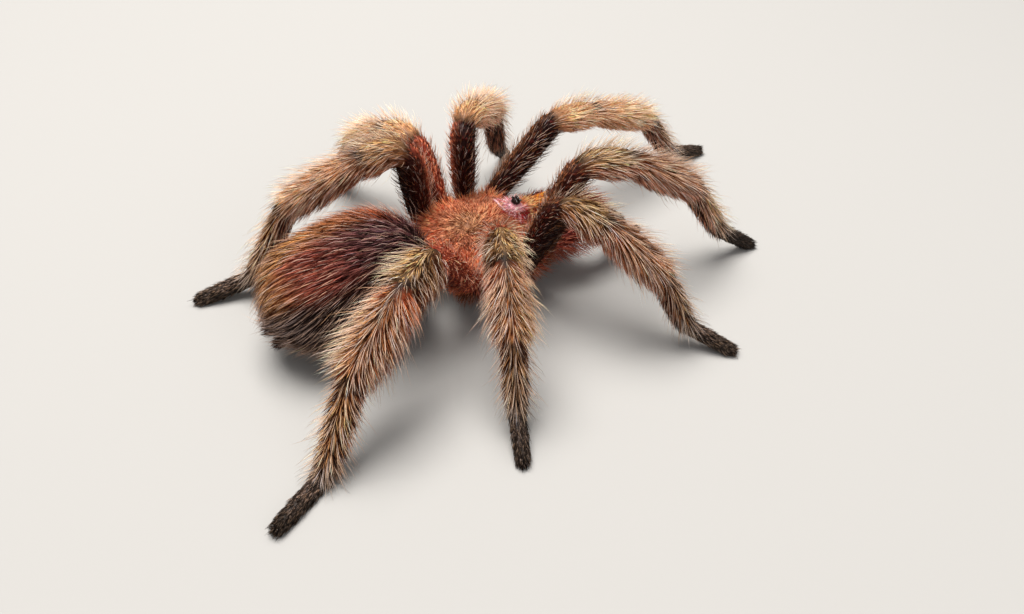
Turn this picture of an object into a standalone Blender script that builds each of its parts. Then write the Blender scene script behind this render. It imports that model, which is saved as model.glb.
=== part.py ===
"""A life-size tarantula (an adult female of the Aphonopelma kind), standing as a still model.

Units in this file are millimetres, turned into metres by MM when a mesh is made. The spider is
laid out in its own directions: "ahead" is towards the eyes, "left" is the spider's left and "up" is
away from the floor, all measured from the middle of the carapace. It faces -Y, so ahead is -Y and
left is +X. Every solid reaches out to the tips of the hair that covers it.
"""

import math

import bmesh
import bpy
from mathutils import Vector

MM = 0.001
GAP = 0.3  # clear space between neighbouring pieces

# ---- driving dimensions -------------------------------------------------------------------------
CARAPACE_LENGTH = 18.4
CARAPACE_WIDTH = 16.8
CARAPACE_FLOOR = 8.8  # height of its flat lower face
CARAPACE_RIM = 1.3  # height of its side edge
CARAPACE_RISE = 3.1  # from the edge to the back's highest part

EYE_MOUND_PLACE = (7.0, 0.0)
EYE_MOUND_SIZE = (0.85, 1.05, 0.95)  # half length, half width, height
EYE_SEAT = 12.5  # height of the level seat under the eye mound

ABDOMEN_CENTRE = (-24.5, -2.2, 10.4)
ABDOMEN_HALF = (15.1, 11.5, 9.5)  # half length, half width, half height
ABDOMEN_TURN = 7.5  # degrees, swings the rear end to the spider's right
ABDOMEN_SQUARENESS = 0.85  # 1 is an ellipsoid, less is blunter

STERNUM_HALF = (7.6, 5.6)
STERNUM_TOP = 8.4
STERNUM_BOTTOM = 3.6

LEG_BASE_HEIGHT = 7.3
LEG_BASES = {1: (6.3, 9.2), 2: (2.2, 10.6), 3: (-2.3, 10.6), 4: (-6.8, 9.6)}  # ahead, outward
COXA_ROOTS = {1: (3.2, 3.4), 2: (1.2, 3.8), 3: (-1.2, 3.8), 4: (-3.4, 3.4)}
COXA_ROOT_HEIGHT = 5.9
SEGMENTS = ("femur", "patella", "tibia", "metatarsus", "tarsus")
SEGMENT_LENGTHS = {
    1: (18.5, 8.7, 13.9, 13.1, 8.3),
    2: (16.7, 8.0, 11.5, 10.9, 8.0),
    3: (13.8, 7.1, 10.7, 11.7, 8.0),
    4: (15.7, 8.0, 13.8, 15.8, 9.5),
}
LEG_GIRTH = {1: 1.0, 2: 0.98, 3: 1.0, 4: 1.06}

# Each leg stands in an upright plane. The heading is degrees from straight ahead, positive to the
# spider's left; the lifts are degrees above level for femur, patella, tibia and metatarsus, and the
# tarsus slopes as much as it takes to reach the floor.
LEG_POSES = {
    "right_1": (1, -12, (70, -6, -31, -57)),
    "right_2": (2, -49, (68, -21, -36, -60)),
    "right_3": (3, -112, (71, -6, -28, -69)),
    "right_4": (4, -149, (52, -5, -24, -54)),
    "left_1": (1, 3, (42, -6, -21, -55)),
    "left_2": (2, 46, (88, -15, -28, -74)),
    "left_3": (3, 112, (67, -6, -33, -59)),
    "left_4": (4, 171, (85, -7, -23, -58)),
}

PALP_BASE = (8.2, 5.9, 6.4)
PALP_ROOT = (3.4, 2.4, 5.6)
PALP_SEGMENTS = ("femur", "patella", "tibia", "tarsus")
PALP_LENGTHS = (8.8, 5.0, 6.5, 5.2)
# Each segment of a palp has its own heading, as the palps curl inward at their tips.
PALP_POSES = {
    "right": ((-8, -3, 5, 25), (14, -22, -52)),
    "left": ((5, -8, -18, -66), (-5, -5, -31)),
}

# Radius of each segment out to the hair tips, at its start, middle and end.
LEG_RADII = {
    "coxa": (2.1, 2.1, 1.95),
    "femur": (1.9, 2.45, 2.65),
    "patella": (2.75, 3.0, 3.05),
    "tibia": (3.1, 3.5, 3.2),
    "metatarsus": (3.0, 2.4, 1.9),
    "tarsus": (1.75, 1.6, 1.35),
}
# How much taller a leg's upper side stands than its lower side, where the long hair is upright.
NO_CREST = (0.0, 0.0, 0.0)
LEG_CRESTS = {
    "femur": (0.0, 0.0, 0.2),
    "patella": (0.24, 0.36, 0.32),
    "tibia": (0.3, 0.24, 0.12),
    "metatarsus": (0.12, 0.06, 0.0),
}
PALP_GIRTH = 0.8
BEND_RADIUS = 3.7  # of the leg's middle line at a joint
BEND_STEP = 21.0  # degrees of turn from ring to ring
TALLNESS = 1.06  # a leg is a little taller than wide
LEG_SIDES = 10
LEG_TIP_HEIGHT = 0.85  # of a leg's middle line where it ends, low enough to stand on a flat
PALP_TIP_HEIGHT = 1.4  # high enough to hang clear of the floor
SOLE_LEVEL = 0.0

CHELICERA_APART = 2.15
# Side outline of a chelicera, from the head to the fang: upper edge (ahead, up), lower edge (ahead,
# up) and half width.
CHELICERA_RIBS = (
    ((9.5, 10.6), (9.5, 5.0), 1.75),
    ((11.4, 11.2), (10.8, 4.5), 1.9),
    ((13.4, 10.9), (12.0, 4.0), 1.9),
    ((15.2, 9.6), (12.9, 3.6), 1.85),
    ((16.3, 7.4), (13.5, 3.3), 1.75),
    ((16.5, 5.2), (14.0, 3.1), 1.5),
    ((16.1, 3.7), (14.5, 3.0), 1.1),
)
FANG_ROOT = (15.3, 2.0, 2.75)
FANG_LENGTH = 3.9
FANG_RADIUS = 0.75
FANG_TIP_RADIUS = 0.27
FANG_START = -122.0  # degrees, down and back
FANG_CURL = 55.0  # degrees that the fang turns on, under the mouth

SPINNERET_APART = 1.5
SPINNERET_START = -12.0  # behind the abdomen's middle, inside its rear end, where it is cut clear
SPINNERET_HEIGHT = 5.3
SPINNERET_LENGTH = 4.2
SPINNERET_RADIUS = 0.85

COLOURS = {
    "carapace_velvet": ((0.42, 0.13, 0.06), 0.75),
    "eye_black": ((0.01, 0.01, 0.01), 0.15),
    "abdomen_hair": ((0.20, 0.075, 0.05), 0.8),
    "underside_velvet": ((0.06, 0.03, 0.025), 0.85),
    "femur_hair": ((0.12, 0.035, 0.03), 0.8),
    "patella_hair": ((0.45, 0.28, 0.15), 0.8),
    "tibia_hair": ((0.38, 0.22, 0.13), 0.8),
    "metatarsus_hair": ((0.27, 0.16, 0.10), 0.8),
    "tarsus_velvet": ((0.05, 0.035, 0.03), 0.85),
    "chelicera_hair": ((0.30, 0.06, 0.035), 0.8),
    "fang_horn": ((0.015, 0.01, 0.01), 0.2),
    "spinneret_velvet": ((0.05, 0.025, 0.02), 0.85),
}


# ---- helpers ------------------------------------------------------------------------------------
def place(ahead, left, up):
    """A point of the spider's own directions as scene millimetres."""
    return Vector((left, -ahead, up))


def direction(heading, lift):
    heading = math.radians(heading)
    lift = math.radians(lift)
    level = math.cos(lift)
    return place(level * math.cos(heading), level * math.sin(heading), math.sin(lift))


def material(kind):
    if kind in bpy.data.materials:
        return bpy.data.materials[kind]
    colour, roughness = COLOURS[kind]
    made = bpy.data.materials.new(kind)
    made.use_nodes = True
    shader = made.node_tree.nodes["Principled BSDF"]
    shader.inputs["Base Color"].default_value = (*colour, 1.0)
    shader.inputs["Roughness"].default_value = roughness
    shader.inputs["Metallic"].default_value = 0.0
    return made


def add_solid(name, mesh_data, origin, kind):
    """Turns a bmesh in scene millimetres into an object with its origin at the given point."""
    bmesh.ops.recalc_face_normals(mesh_data, faces=mesh_data.faces)
    for vertex in mesh_data.verts:
        vertex.co = (vertex.co - origin) * MM
    mesh = bpy.data.meshes.new(name)
    mesh_data.to_mesh(mesh)
    mesh_data.free()
    mesh.materials.append(material(kind))
    solid = bpy.data.objects.new(name, mesh)
    solid.location = origin * MM
    bpy.context.scene.collection.objects.link(solid)
    return solid


def make_helper(helper):
    helper.hide_render = True
    helper.display_type = "WIRE"


def combine(target, helper, operation):
    step = target.modifiers.new(helper.name, "BOOLEAN")
    step.operation = operation
    step.solver = "EXACT"
    step.object = helper


def union(target, helper):
    combine(target, helper, "UNION")


def cut(target, helper):
    combine(target, helper, "DIFFERENCE")


def join_rings(rings, first_tip=None, last_tip=None):
    """A closed solid through a row of rings, each end closed by a fan of triangles to its tip."""
    made = bmesh.new()
    rows = [[made.verts.new(point) for point in ring] for ring in rings]
    count = len(rows[0])
    for row, following in zip(rows, rows[1:]):
        for i in range(count):
            j = (i + 1) % count
            face = made.faces.new((row[i], row[j], following[j], following[i]))
            face.smooth = True
    for row, tip in ((rows[0], first_tip), (rows[-1], last_tip)):
        rounded = tip is not None
        if not rounded:
            tip = sum((vertex.co for vertex in row), Vector()) / count
        middle = made.verts.new(tip)
        for i in range(count):
            face = made.faces.new((row[i], row[(i + 1) % count], middle))
            face.smooth = rounded
    return made


def through_three(values, t):
    """The smooth curve that takes the three values at t = 0, 0.5 and 1."""
    start, middle, end = values
    return start * (2 * t - 1) * (t - 1) + middle * 4 * t * (1 - t) + end * t * (2 * t - 1)


# ---- legs and palps -----------------------------------------------------------------------------
class Bend:
    """A rounded corner of a leg's middle line."""

    def __init__(self, before, corner, after):
        self.start_way = (corner - before).normalized()
        self.end_way = (after - corner).normalized()
        self.angle = self.start_way.angle(self.end_way)
        room = 0.48 * min((corner - before).length, (after - corner).length)
        wanted = BEND_RADIUS * math.tan(self.angle / 2)
        self.reach = min(wanted, room)
        self.radius = self.reach / max(math.tan(self.angle / 2), 1e-6)
        inward = self.end_way - self.start_way * self.end_way.dot(self.start_way)
        self.inward = inward.normalized()
        self.start = corner - self.start_way * self.reach

    def at(self, share):
        """Point and direction of the middle line at a share of the corner's turn."""
        turned = self.angle * share
        point = self.start
        point = point + self.start_way * (self.radius * math.sin(turned))
        point = point + self.inward * (self.radius * (1 - math.cos(turned)))
        way = self.start_way * math.cos(turned) + self.inward * math.sin(turned)
        return point, way


def middle_line(start_bend, end_bend, start, end):
    """Points and directions of one segment's middle line, from joint to joint."""
    line = []
    if start_bend:
        steps = max(1, round(math.degrees(start_bend.angle) / 2 / BEND_STEP))
        for i in range(steps + 1):
            line.append(start_bend.at(0.5 + 0.5 * i / steps))
        line[0] = (line[0][0] + line[0][1] * (GAP / 2), line[0][1])
    else:
        line.append((start, (end - start).normalized()))
    head = line[-1][0]
    tail = end_bend.at(0)[0] if end_bend else end
    way = (tail - head).normalized()
    steps = max(2, round((tail - head).length / 3.6))
    for i in range(1, steps):
        line.append((head + (tail - head) * (i / steps), way))
    if end_bend:
        steps = max(1, round(math.degrees(end_bend.angle) / 2 / BEND_STEP))
        for i in range(steps + 1):
            line.append(end_bend.at(0.5 * i / steps))
        line[-1] = (line[-1][0] - line[-1][1] * (GAP / 2), line[-1][1])
    else:
        line.append((end, way))
    return line


def ring_round(point, way, side, radius, crest=0.0):
    """A ring of the leg's outline in the plane across its middle line."""
    across = (side - way * side.dot(way)).normalized()
    upward = way.cross(across)
    ring = []
    for i in range(LEG_SIDES):
        angle = 2 * math.pi * (i + 0.5) / LEG_SIDES
        tall = TALLNESS * math.sin(angle) * (1 + crest * max(0.0, math.sin(angle)))
        ring.append(point + (across * math.cos(angle) + upward * tall) * radius)
    return ring


def above_floor(point):
    return Vector((point.x, point.y, max(point.z, SOLE_LEVEL)))


def segment_solid(line, side, radii, crests, girth, is_last):
    """One leg segment. The last one has a rounded tip and stands on a level sole."""
    lengths = [0.0]
    for (here, _), (there, _) in zip(line, line[1:]):
        lengths.append(lengths[-1] + (there - here).length)
    rings = []
    for (point, way), length in zip(line, lengths):
        share = length / lengths[-1]
        radius = girth * through_three(radii, share)
        rings.append(ring_round(point, way, side, radius, through_three(crests, share)))
    tip = None
    if is_last:
        point, way = line[-1]
        radius = girth * radii[2]
        for ahead, share in ((0.45, 0.86), (0.8, 0.55)):
            rings.append(ring_round(point + way * (ahead * radius), way, side, share * radius))
        tip = above_floor(point + way * (0.92 * radius))
    rings = [[above_floor(corner) for corner in ring] for ring in rings]
    return join_rings(rings, last_tip=tip)


def limb(prefix, names, points, side, girth, crests):
    """The nodes of one leg or palp. The first stretch is its coxa, given back as a helper."""
    bends = [Bend(*points[i - 1 : i + 2]) for i in range(1, len(points) - 1)]
    line = middle_line(None, bends[0], points[0], points[1])
    coxa = segment_solid(line, side, LEG_RADII["coxa"], NO_CREST, girth, False)
    helper = add_solid(f"{prefix}_coxa", coxa, points[0], "underside_velvet")
    make_helper(helper)
    for i, name in enumerate(names):
        is_last = i == len(names) - 1
        end_bend = None if is_last else bends[i + 1]
        line = middle_line(bends[i], end_bend, points[i + 1], points[i + 2])
        crest = crests.get(name, NO_CREST)
        solid = segment_solid(line, side, LEG_RADII[name], crest, girth, is_last)
        kind = "tarsus_velvet" if name == "tarsus" else f"{name}_hair"
        add_solid(f"{prefix}_{name}", solid, bends[i].at(0.5)[0], kind)
    return helper


def limb_points(root, base, headings, lifts, lengths, tip_height):
    """Joints of a limb, from the coxa's root to the middle of the tarsus's tip."""
    points = [root, base]
    for heading, lift, length in zip(headings, lifts, lengths):
        points.append(points[-1] + direction(heading, lift) * length)
    drop = (tip_height - points[-1].z) / lengths[-1]
    last_lift = math.degrees(math.asin(max(-0.95, min(0.5, drop))))
    points.append(points[-1] + direction(headings[-1], last_lift) * lengths[-1])
    return points


def legs():
    coxae = []
    for name, (pair, heading, lifts) in LEG_POSES.items():
        outward = 1 if name.startswith("left") else -1
        ahead, out = COXA_ROOTS[pair]
        root = place(ahead, outward * out, COXA_ROOT_HEIGHT)
        ahead, out = LEG_BASES[pair]
        base = place(ahead, outward * out, LEG_BASE_HEIGHT)
        headings = (heading,) * len(SEGMENTS)
        lengths = SEGMENT_LENGTHS[pair]
        points = limb_points(root, base, headings, lifts, lengths, LEG_TIP_HEIGHT)
        side = direction(heading + 90, 0)
        coxae.append(limb(f"leg_{name}", SEGMENTS, points, side, LEG_GIRTH[pair], LEG_CRESTS))
    return coxae


def palps():
    coxae = []
    for name, (headings, lifts) in PALP_POSES.items():
        outward = 1 if name == "left" else -1
        root = place(PALP_ROOT[0], outward * PALP_ROOT[1], PALP_ROOT[2])
        base = place(PALP_BASE[0], outward * PALP_BASE[1], PALP_BASE[2])
        points = limb_points(root, base, headings, lifts, PALP_LENGTHS, PALP_TIP_HEIGHT)
        side = direction(headings[1] + 90, 0)
        coxae.append(limb(f"palp_{name}", PALP_SEGMENTS, points, side, PALP_GIRTH, {}))
    return coxae


# ---- carapace and eyes --------------------------------------------------------------------------
def carapace_edge(angle, growth=0.0):
    """The carapace's outline from above: blunt in front, widest behind the middle."""
    ahead = math.cos(angle)
    ahead = math.copysign(abs(ahead) ** 0.86, ahead)
    left = math.sin(angle)
    left = math.copysign(abs(left) ** 0.9, left)
    narrowing = 1 - 0.08 * math.cos(angle)
    half_length = CARAPACE_LENGTH / 2 + growth
    half_width = CARAPACE_WIDTH / 2 + growth
    return half_length * ahead, half_width * left * narrowing


def carapace_height(ahead, left, share):
    """Height of the back: a low dome, a raised head and the dimple behind it."""
    edge = CARAPACE_FLOOR + CARAPACE_RIM
    dome = 0.62 * CARAPACE_RISE * math.sqrt(max(0.0, 1 - share**2.2))
    head = math.exp(-(((ahead - 4.2) / 4.6) ** 2) - (left / 3.6) ** 2)
    dimple = math.exp(-(((ahead + 2.4) / 1.3) ** 2) - (left / 1.7) ** 2)
    height = edge + dome + 0.46 * CARAPACE_RISE * head * (1 - share**4) - 0.8 * dimple
    seat = math.hypot(ahead - EYE_MOUND_PLACE[0], left - EYE_MOUND_PLACE[1])
    blend = min(1.0, max(0.0, (seat - 1.7) / 1.2))
    return EYE_SEAT * (1 - blend) + height * blend


def carapace_solid(growth=0.0):
    sides = 32
    shares = (1.0, 0.96, 0.88, 0.76, 0.6, 0.42, 0.22)
    rings = []
    for lowered in (True, False):
        ring = []
        for i in range(sides):
            ahead, left = carapace_edge(2 * math.pi * i / sides, growth - (0.25 if lowered else 0))
            height = CARAPACE_FLOOR - growth
            if not lowered:
                height += 0.45 * CARAPACE_RIM
            ring.append(place(ahead, left, height))
        rings.append(ring)
    for share in shares:
        ring = []
        for i in range(sides):
            ahead, left = carapace_edge(2 * math.pi * i / sides, growth - 0.15)
            ahead, left = ahead * share, left * share
            height = carapace_height(ahead, left, min(1.0, share)) + growth
            ring.append(place(ahead, left, height))
        rings.append(ring)
    top = place(0, 0, carapace_height(0, 0, 0) + growth)
    return join_rings(rings, last_tip=top)


def carapace():
    return add_solid("carapace", carapace_solid(), place(0, 0, CARAPACE_FLOOR), "carapace_velvet")


def eye_places():
    """Middle and radius of the eight eyes, as shares of the mound's size."""
    half_length, half_width, height = EYE_MOUND_SIZE
    rows = (
        ("front_middle", 0.42, 0.36, 0.78, 0.27),
        ("front_side", 0.72, 0.74, 0.42, 0.25),
        ("rear_side", -0.28, 0.86, 0.42, 0.21),
        ("rear_middle", -0.35, 0.60, 0.66, 0.16),
    )
    for _, ahead, out, up, radius in rows:
        for side in (-1, 1):
            yield ahead * half_length, side * out * half_width, up * height, radius


def eye_mound():
    """The mound that carries all eight eyes."""
    half_length, half_width, height = EYE_MOUND_SIZE
    sides = 16
    rings = []
    for angle in (0, 22, 45, 68):
        share = math.cos(math.radians(angle))
        rise = math.sin(math.radians(angle)) * height
        ring = []
        for i in range(sides):
            turn = 2 * math.pi * i / sides
            ahead = EYE_MOUND_PLACE[0] + half_length * share * math.cos(turn)
            left = half_width * share * math.sin(turn)
            ring.append(place(ahead, left, EYE_SEAT + GAP + rise))
        rings.append(ring)
    top = place(EYE_MOUND_PLACE[0], 0, EYE_SEAT + GAP + height)
    origin = place(*EYE_MOUND_PLACE, EYE_SEAT + GAP)
    mound = add_solid("eye_mound", join_rings(rings, last_tip=top), origin, "eye_black")
    for number, (ahead, left, up, radius) in enumerate(eye_places(), 1):
        ball = bmesh.new()
        bmesh.ops.create_icosphere(ball, subdivisions=1, radius=radius)
        middle = place(EYE_MOUND_PLACE[0] + ahead, left, EYE_SEAT + GAP + up)
        bmesh.ops.translate(ball, verts=ball.verts, vec=middle)
        eye = add_solid(f"eye_{number}", ball, middle, "eye_black")
        make_helper(eye)
        union(mound, eye)
    return mound


# ---- abdomen and spinnerets ---------------------------------------------------------------------
def signed_power(value, power):
    return math.copysign(abs(value) ** power, value)


def abdomen_point(along, round_angle, growth):
    """A point of the abdomen's surface. along runs in degrees from 0 at the waist to 180."""
    half_length, half_width, half_height = (half + growth for half in ABDOMEN_HALF)
    turn = math.radians(along)
    share = signed_power(math.sin(turn), ABDOMEN_SQUARENESS)
    ahead = half_length * signed_power(math.cos(turn), ABDOMEN_SQUARENESS)
    left = half_width * share * signed_power(math.cos(round_angle), ABDOMEN_SQUARENESS)
    up = half_height * share * signed_power(math.sin(round_angle), ABDOMEN_SQUARENESS)
    swing = math.radians(ABDOMEN_TURN)
    centre_ahead, centre_left, centre_up = ABDOMEN_CENTRE
    return place(
        centre_ahead + ahead * math.cos(swing) - left * math.sin(swing),
        centre_left + ahead * math.sin(swing) + left * math.cos(swing),
        centre_up + up,
    )


def abdomen_solid(growth=0.0):
    sides = 24
    rings = []
    for along in (12, 22, 34, 46, 58, 70, 82, 94, 106, 118, 130, 142, 154, 166):
        angles = [2 * math.pi * i / sides for i in range(sides)]
        rings.append([abdomen_point(along, angle, growth) for angle in angles])
    return join_rings(rings, abdomen_point(0, 0, growth), abdomen_point(180, 0, growth))


def abdomen():
    add_solid("abdomen", abdomen_solid(), place(*ABDOMEN_CENTRE), "abdomen_hair")


def spinnerets():
    """Two short fingers at the rear, each of three joints, cut clear of the abdomen's hair."""
    swing = math.radians(ABDOMEN_TURN)
    room = add_solid("room_for_abdomen", abdomen_solid(GAP), place(*ABDOMEN_CENTRE), "abdomen_hair")
    make_helper(room)
    for name, outward in (("right", -1), ("left", 1)):
        rings = []
        shares = ((0, 1.0), (0.62, 1.0), (0.68, 0.84), (0.8, 0.84), (0.85, 0.66), (0.96, 0.55))
        middles = []
        for share, girth in shares:
            ahead = SPINNERET_START - SPINNERET_LENGTH * share
            left = outward * SPINNERET_APART * (1 + 0.25 * share)
            up = SPINNERET_HEIGHT + 0.5 * share
            middle = place(
                ABDOMEN_CENTRE[0] + ahead * math.cos(swing) - left * math.sin(swing),
                ABDOMEN_CENTRE[1] + ahead * math.sin(swing) + left * math.cos(swing),
                up,
            )
            middles.append(middle)
            ring = []
            for i in range(10):
                angle = 2 * math.pi * i / 10
                offset = Vector((math.cos(angle), 0, math.sin(angle)))
                ring.append(middle + offset * (SPINNERET_RADIUS * girth))
            rings.append(ring)
        tip = middles[-1] + (middles[-1] - middles[0]).normalized() * 0.3
        solid = join_rings(rings, last_tip=tip)
        finger = add_solid(f"spinneret_{name}", solid, middles[0], "spinneret_velvet")
        cut(finger, room)


# ---- mouth parts --------------------------------------------------------------------------------
def chelicera_rings(outward, growth=0.0):
    rings = []
    sides = 12
    for upper, lower, half_width in CHELICERA_RIBS:
        middle_left = outward * CHELICERA_APART
        centre = place((upper[0] + lower[0]) / 2, middle_left, (upper[1] + lower[1]) / 2)
        rise = place((upper[0] - lower[0]) / 2, 0, (upper[1] - lower[1]) / 2)
        rise = rise * (1 + growth / rise.length)
        across = place(0, half_width + growth, 0)
        ring = []
        for i in range(sides):
            angle = 2 * math.pi * i / sides
            across_share = signed_power(math.cos(angle), 0.9)
            rise_share = signed_power(math.sin(angle), 0.9)
            ring.append(centre + across * across_share + rise * rise_share)
        rings.append(ring)
    return rings


def chelicerae():
    for name, outward in (("right", -1), ("left", 1)):
        rings = chelicera_rings(outward)
        origin = place(CHELICERA_RIBS[0][0][0], outward * CHELICERA_APART, LEG_BASE_HEIGHT)
        add_solid(f"chelicera_{name}", join_rings(rings), origin, "chelicera_hair")


def fangs():
    """Curved cones that fold back under the chelicerae."""
    steps = 7
    sides = 8
    for name, outward in (("right", -1), ("left", 1)):
        middle = place(FANG_ROOT[0], outward * FANG_ROOT[1], FANG_ROOT[2])
        rings = []
        lift = FANG_START
        for step in range(steps + 1):
            share = step / steps
            radius = FANG_RADIUS * (1 - share) + FANG_TIP_RADIUS * share
            way = direction(0, lift)
            across = place(0, 1, 0)
            upward = way.cross(across)
            ring = []
            for i in range(sides):
                angle = 2 * math.pi * i / sides
                ring.append(middle + (across * math.cos(angle) + upward * math.sin(angle)) * radius)
            rings.append(ring)
            lift -= FANG_CURL / steps
            middle = middle + direction(0, lift) * (FANG_LENGTH / steps)
        tip = middle - direction(0, lift) * (FANG_LENGTH / steps - 0.2)
        origin = place(FANG_ROOT[0], outward * FANG_ROOT[1], FANG_ROOT[2])
        add_solid(f"fang_{name}", join_rings(rings, last_tip=tip), origin, "fang_horn")


# ---- underside ----------------------------------------------------------------------------------
def underside(coxae):
    """The sternum with all ten coxae grown onto it, cut clear of the carapace above."""
    sides = 24
    half_length, half_width = STERNUM_HALF
    rings = []
    for height, share in (
        (STERNUM_TOP, 0.96),
        (STERNUM_TOP - 1.2, 1.0),
        (STERNUM_BOTTOM + 1.6, 0.96),
        (STERNUM_BOTTOM + 0.5, 0.78),
        (STERNUM_BOTTOM + 0.1, 0.45),
    ):
        ring = []
        for i in range(sides):
            angle = 2 * math.pi * i / sides
            ahead = half_length * share * math.cos(angle) + 0.2
            ring.append(place(ahead, half_width * share * math.sin(angle), height))
        rings.append(ring)
    bottom = place(0.2, 0, STERNUM_BOTTOM)
    solid = join_rings(rings, last_tip=bottom)
    body = add_solid("underside", solid, place(0, 0, STERNUM_TOP), "underside_velvet")
    for coxa in coxae:
        union(body, coxa)
    room = add_solid("room_for_carapace", carapace_solid(GAP), place(0, 0, 0), "underside_velvet")
    make_helper(room)
    cut(body, room)


# ---- the whole spider ---------------------------------------------------------------------------
def stand_in_the_middle():
    """Hangs every object on one empty and moves it, so the spider stands centred on the origin."""
    bpy.context.view_layer.update()
    corners = []
    for solid in bpy.context.scene.objects:
        if not solid.hide_render:
            corners += [solid.matrix_world @ Vector(corner) for corner in solid.bound_box]
    middle = Vector()
    for axis in (0, 1):
        values = [corner[axis] for corner in corners]
        middle[axis] = (min(values) + max(values)) / 2
    spider = bpy.data.objects.new("tarantula", None)
    bpy.context.scene.collection.objects.link(spider)
    for solid in list(bpy.context.scene.objects):
        if solid is not spider:
            solid.parent = spider
    spider.location = -middle


def main():
    for leftover in list(bpy.data.objects):
        bpy.data.objects.remove(leftover, do_unlink=True)
    coxae = legs() + palps()
    carapace()
    eye_mound()
    abdomen()
    spinnerets()
    chelicerae()
    fangs()
    underside(coxae)
    stand_in_the_middle()


main()
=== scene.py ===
"""Looks of the tarantula: one skin, its coat of hair, eyes, fangs and claws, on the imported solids.

Lengths are millimetres until a mesh is made. The spider's own directions are "ahead" (towards the
eyes, -Y), "left" (+X) and "up", measured from the middle of the carapace on the floor. The solids
reach out to the hair tips, so the skin lies inside them by the coat's depth.

An angle round a limb is 0 on its left side and 90 degrees on top. u and v are shares of 0 to 1 on
a body surface: u goes round it and v along it. Marks are two colours, of a hair's root and of its
tip, and both the skin and the coat read them.
"""

import math

import bmesh
import bpy
import numpy as np
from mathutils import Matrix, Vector
from mathutils.bvhtree import BVHTree
from mathutils.kdtree import KDTree


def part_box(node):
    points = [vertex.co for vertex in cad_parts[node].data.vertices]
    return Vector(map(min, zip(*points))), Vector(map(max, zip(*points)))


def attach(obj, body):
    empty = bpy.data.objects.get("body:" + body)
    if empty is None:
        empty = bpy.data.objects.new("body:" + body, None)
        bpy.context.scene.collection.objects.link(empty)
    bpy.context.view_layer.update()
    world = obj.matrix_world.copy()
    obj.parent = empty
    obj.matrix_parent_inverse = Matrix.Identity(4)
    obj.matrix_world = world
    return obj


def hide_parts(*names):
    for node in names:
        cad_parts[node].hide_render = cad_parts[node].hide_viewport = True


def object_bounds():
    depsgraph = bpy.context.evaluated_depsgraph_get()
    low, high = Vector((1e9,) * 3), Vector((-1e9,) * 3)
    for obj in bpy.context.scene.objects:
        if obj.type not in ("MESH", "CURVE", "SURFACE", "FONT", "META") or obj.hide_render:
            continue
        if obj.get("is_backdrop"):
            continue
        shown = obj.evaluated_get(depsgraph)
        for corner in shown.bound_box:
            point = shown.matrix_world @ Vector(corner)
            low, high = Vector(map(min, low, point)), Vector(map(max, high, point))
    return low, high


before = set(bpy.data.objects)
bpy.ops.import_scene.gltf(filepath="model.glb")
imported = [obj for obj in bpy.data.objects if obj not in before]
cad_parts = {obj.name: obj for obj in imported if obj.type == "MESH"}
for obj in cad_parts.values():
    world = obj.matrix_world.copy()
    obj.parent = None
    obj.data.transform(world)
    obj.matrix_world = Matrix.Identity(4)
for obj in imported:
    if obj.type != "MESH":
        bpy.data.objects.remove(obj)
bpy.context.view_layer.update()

MM = 0.001
TURN = 2 * math.pi
DOWN = np.array([0, 0, -1.0])
SCENE = bpy.context.scene
low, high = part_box("carapace")
SHIFT = np.array([(low.x + high.x) / 2, (low.y + high.y) / 2, 0.0])  # metres

# ---- shared shape, the same named values as the solids -------------------------------------------
CARAPACE_LENGTH = 18.4
CARAPACE_WIDTH = 16.8
CARAPACE_FLOOR = 8.8
CARAPACE_RIM = 1.3
CARAPACE_RISE = 3.1
DIMPLE_AHEAD = -2.4
EYE_MOUND_PLACE = (7.0, 0.0)
EYE_MOUND_SIZE = (0.85, 1.05, 0.95)
EYE_SEAT = 12.5
EYE_LIFT = 0.3
ABDOMEN_CENTRE = (-24.5, -2.2, 10.4)
ABDOMEN_HALF = (15.1, 11.5, 9.5)
ABDOMEN_TURN = 7.5
ABDOMEN_SQUARENESS = 0.85
STERNUM_HALF = (7.6, 5.6)
LEG_BASE_HEIGHT = 7.3
LEG_BASES = {1: (6.3, 9.2), 2: (2.2, 10.6), 3: (-2.3, 10.6), 4: (-6.8, 9.6)}
COXA_ROOTS = {1: (3.2, 3.4), 2: (1.2, 3.8), 3: (-1.2, 3.8), 4: (-3.4, 3.4)}
COXA_ROOT_HEIGHT = 5.9
LEG_PARTS = ("coxa", "femur", "patella", "tibia", "metatarsus", "tarsus")
SEGMENT_LENGTHS = {
    1: (18.5, 8.7, 13.9, 13.1, 8.3),
    2: (16.7, 8.0, 11.5, 10.9, 8.0),
    3: (13.8, 7.1, 10.7, 11.7, 8.0),
    4: (15.7, 8.0, 13.8, 15.8, 9.5),
}
LEG_GIRTH = {1: 1.0, 2: 0.98, 3: 1.0, 4: 1.06}
LEG_POSES = {
    "right_1": (1, -12, (70, -6, -31, -57)),
    "right_2": (2, -49, (68, -21, -36, -60)),
    "right_3": (3, -112, (71, -6, -28, -69)),
    "right_4": (4, -149, (52, -5, -24, -54)),
    "left_1": (1, 3, (42, -6, -21, -55)),
    "left_2": (2, 46, (88, -15, -28, -74)),
    "left_3": (3, 112, (67, -6, -33, -59)),
    "left_4": (4, 171, (85, -7, -23, -58)),
}
PALP_BASE = (8.2, 5.9, 6.4)
PALP_ROOT = (3.4, 2.4, 5.6)
PALP_PARTS = ("coxa", "femur", "patella", "tibia", "tarsus")
PALP_LENGTHS = (8.8, 5.0, 6.5, 5.2)
PALP_POSES = {
    "right": ((-8, -3, 5, 25), (14, -22, -52)),
    "left": ((5, -8, -18, -66), (-5, -5, -31)),
}
PALP_GIRTH = 0.8
BEND_RADIUS = 3.7
TALLNESS = 1.06
LEG_TIP_HEIGHT = 0.85
PALP_TIP_HEIGHT = 1.4
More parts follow.
